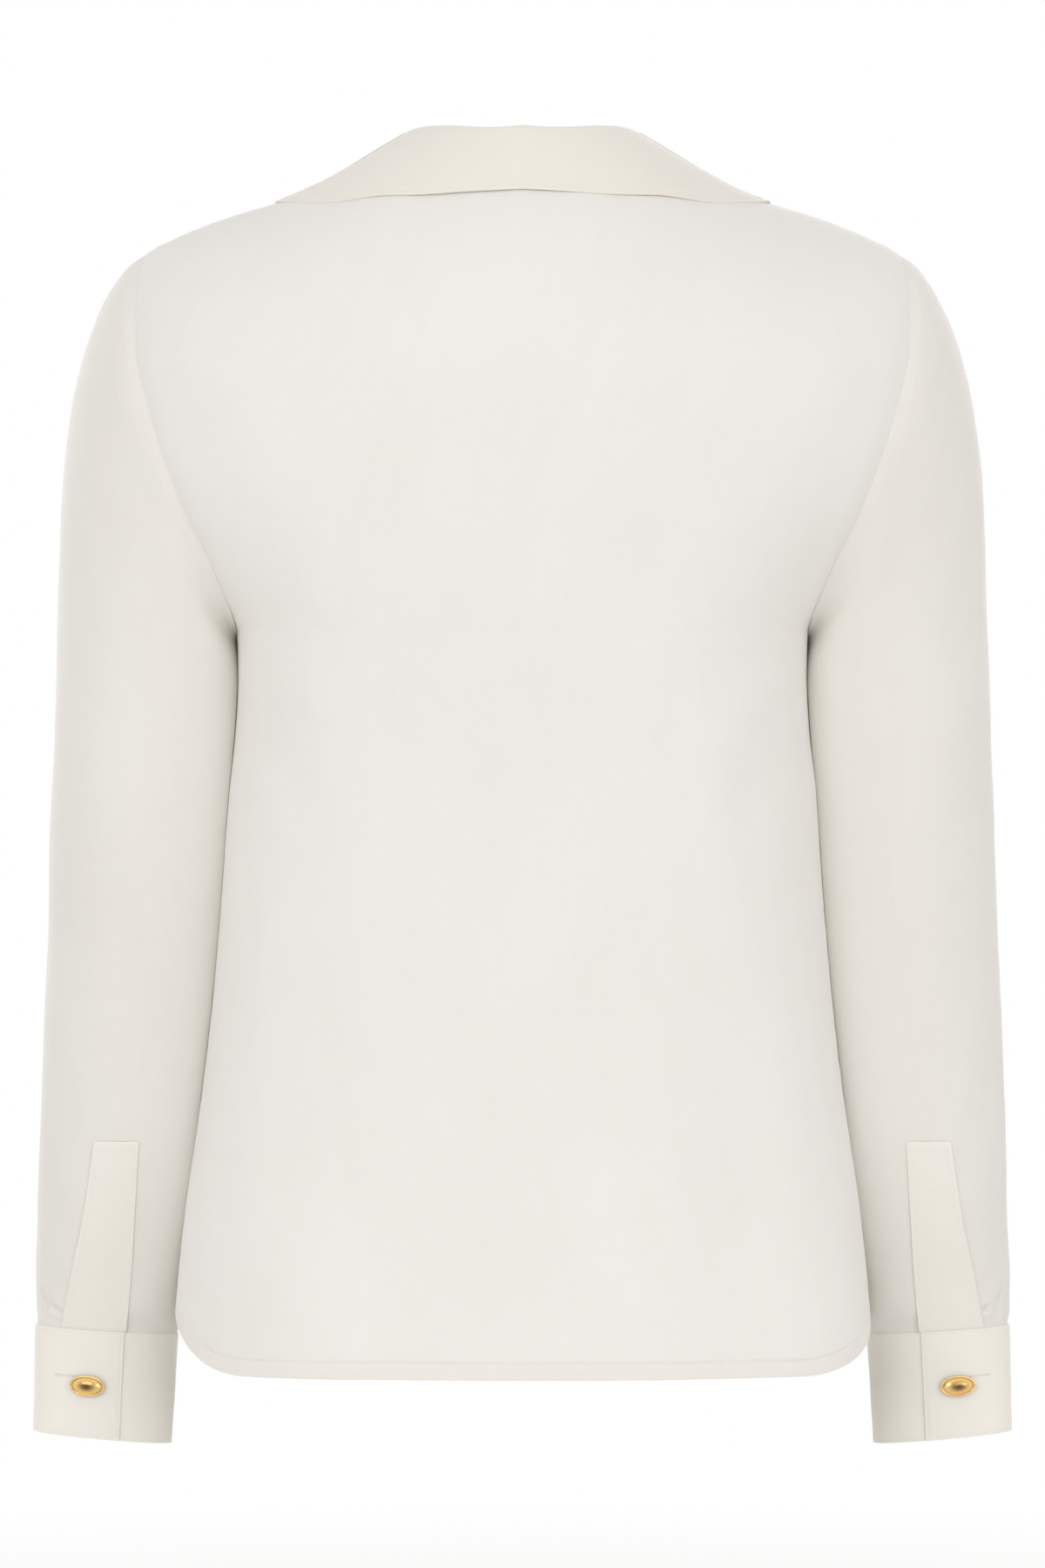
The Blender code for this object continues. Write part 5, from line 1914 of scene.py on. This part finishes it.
def look(place: Array, aim: Array) -> tuple[float, float, float]:
    """Euler turns that point an object's -Z from its place to an aim, with Y up."""
    way = unit(aim - place)
    return float(np.arccos(-way[2])), 0.0, float(np.arctan2(way[1], way[0]) - np.pi / 2)


@dataclass(frozen=True)
class Studio:
    """Pale floor, white surroundings, soft lamps and the camera behind the wearer.

    The floor's height and reach are in millimetres, and all other places are in metres.
    """

    floor: float = -800.0
    floor_reach: float = 25000.0
    shadow_ring: tuple[float, float] = (0.85, 1.2)
    glow_range: tuple[float, float] = (0.6, 1.0)
    aim: tuple[float, float, float] = (0.0, 0.0, -0.34)
    camera_place: tuple[float, float, float] = (0.0, 4.8, -0.3288)
    lens: float = 200.0
    sensor: float = 36.0
    ambient: float = 0.8
    lamps: tuple[Lamp, ...] = (
        Lamp("key_lamp", (1.4, 3.4, 0.7), 2.2, 24.5),
        Lamp("fill_lamp", (-1.8, 3.2, -0.1), 2.4, 20.0),
        Lamp("front_lamp", (-1.0, -3.4, 0.7), 2.2, 24.5),
        Lamp("front_fill_lamp", (1.8, -3.0, 0.0), 2.4, 19.0))

    def build(self) -> None:
        """Set up the world, the floor, the lamps and the camera."""
        scene = bpy.context.scene
        scene.view_settings.view_transform = "Standard"
        self.world(scene)
        self.ground()
        for lamp in self.lamps:
            lamp.build(np.array(self.aim))
        camera = bpy.data.cameras.new("camera")
        camera.lens = self.lens
        camera.sensor_width = self.sensor
        item = add_item("camera", camera)
        item.location = self.camera_place
        item.rotation_euler = (np.pi / 2, 0.0, np.pi)
        scene.camera = item

    def world(self, scene: bpy.types.Scene) -> None:
        """White for the camera and for reflections, and a softer white as light.

        Args:
            scene: the scene that takes the world.
        """
        world = bpy.data.worlds.new("studio")
        world.use_nodes = True
        scene.world = world
        graph = Graph(world.node_tree)
        graph.tree.nodes.clear()
        seen = graph.seen("Is Camera Ray", "Is Glossy Ray", "Is Transmission Ray")
        light = graph.node("ShaderNodeBackground", {"Color": SOFT_WHITE, "Strength": self.ambient})
        white = graph.node("ShaderNodeBackground", {"Color": WHITE, "Strength": 1.0})
        mixed = graph.node("ShaderNodeMixShader", {0: seen, 1: light.outputs[0], 2: white.outputs[0]})
        graph.node("ShaderNodeOutputWorld", {"Surface": mixed.outputs[0]})

    def ground(self) -> None:
        """A wide pale floor that looks white and keeps a soft shadow."""
        corners = np.array([(-1, -1), (1, -1), (1, 1), (-1, 1)]) * self.floor_reach
        mesh = new_mesh("floor", np.column_stack([corners, np.full(4, self.floor)]), [[0, 1, 2, 3]])
        floor = add_item("floor", mesh)
        material, graph, shader = new_material("pale_floor")
        graph.feed(shader, {"Base Color": PALE, "Roughness": 0.9})
        seen = graph.seen("Is Camera Ray", "Is Glossy Ray")
        glow = graph.node("ShaderNodeEmission", {"Color": WHITE, "Strength": 1.0})
        place = graph.node("ShaderNodeTexCoord").outputs["Object"]
        away = graph.node("ShaderNodeVectorMath", {0: place}, operation="LENGTH").outputs["Value"]
        share = graph.math("MULTIPLY", seen, graph.fit(away, self.shadow_ring, self.glow_range))
        mixed = graph.node("ShaderNodeMixShader", {0: share, 1: shader.outputs[0], 2: glow.outputs[0]})
        graph.feed(material.node_tree.nodes["Material Output"], {"Surface": mixed.outputs[0]})
        mesh.materials.append(material)


# --------------------------------------------------------------------- main


def main() -> None:
    """Build the shirt piece by piece inside its frame."""
    logging.basicConfig(level=logging.INFO, format="%(name)s: %(message)s")
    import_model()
    wardrobe = Wardrobe()
    body = BodyForm()
    arm = ArmForm(body)
    pieces = {
        "back": BodyPanel(body, Panel.BACK, BACK_FOLDS, 3),
        "front": BodyPanel(body, Panel.FRONT, FRONT_FOLDS, 5),
        "collar": Collar(body),
        "front placket": FrontPlacket(body),
        "left arm": Sleeve(arm, Side.LEFT),
        "right arm": Sleeve(arm, Side.RIGHT),
    }
    for title, piece in pieces.items():
        piece.build(wardrobe)
        LOG.info("built the %s", title)
    Studio().build()


if __name__ == "__main__":
    main()
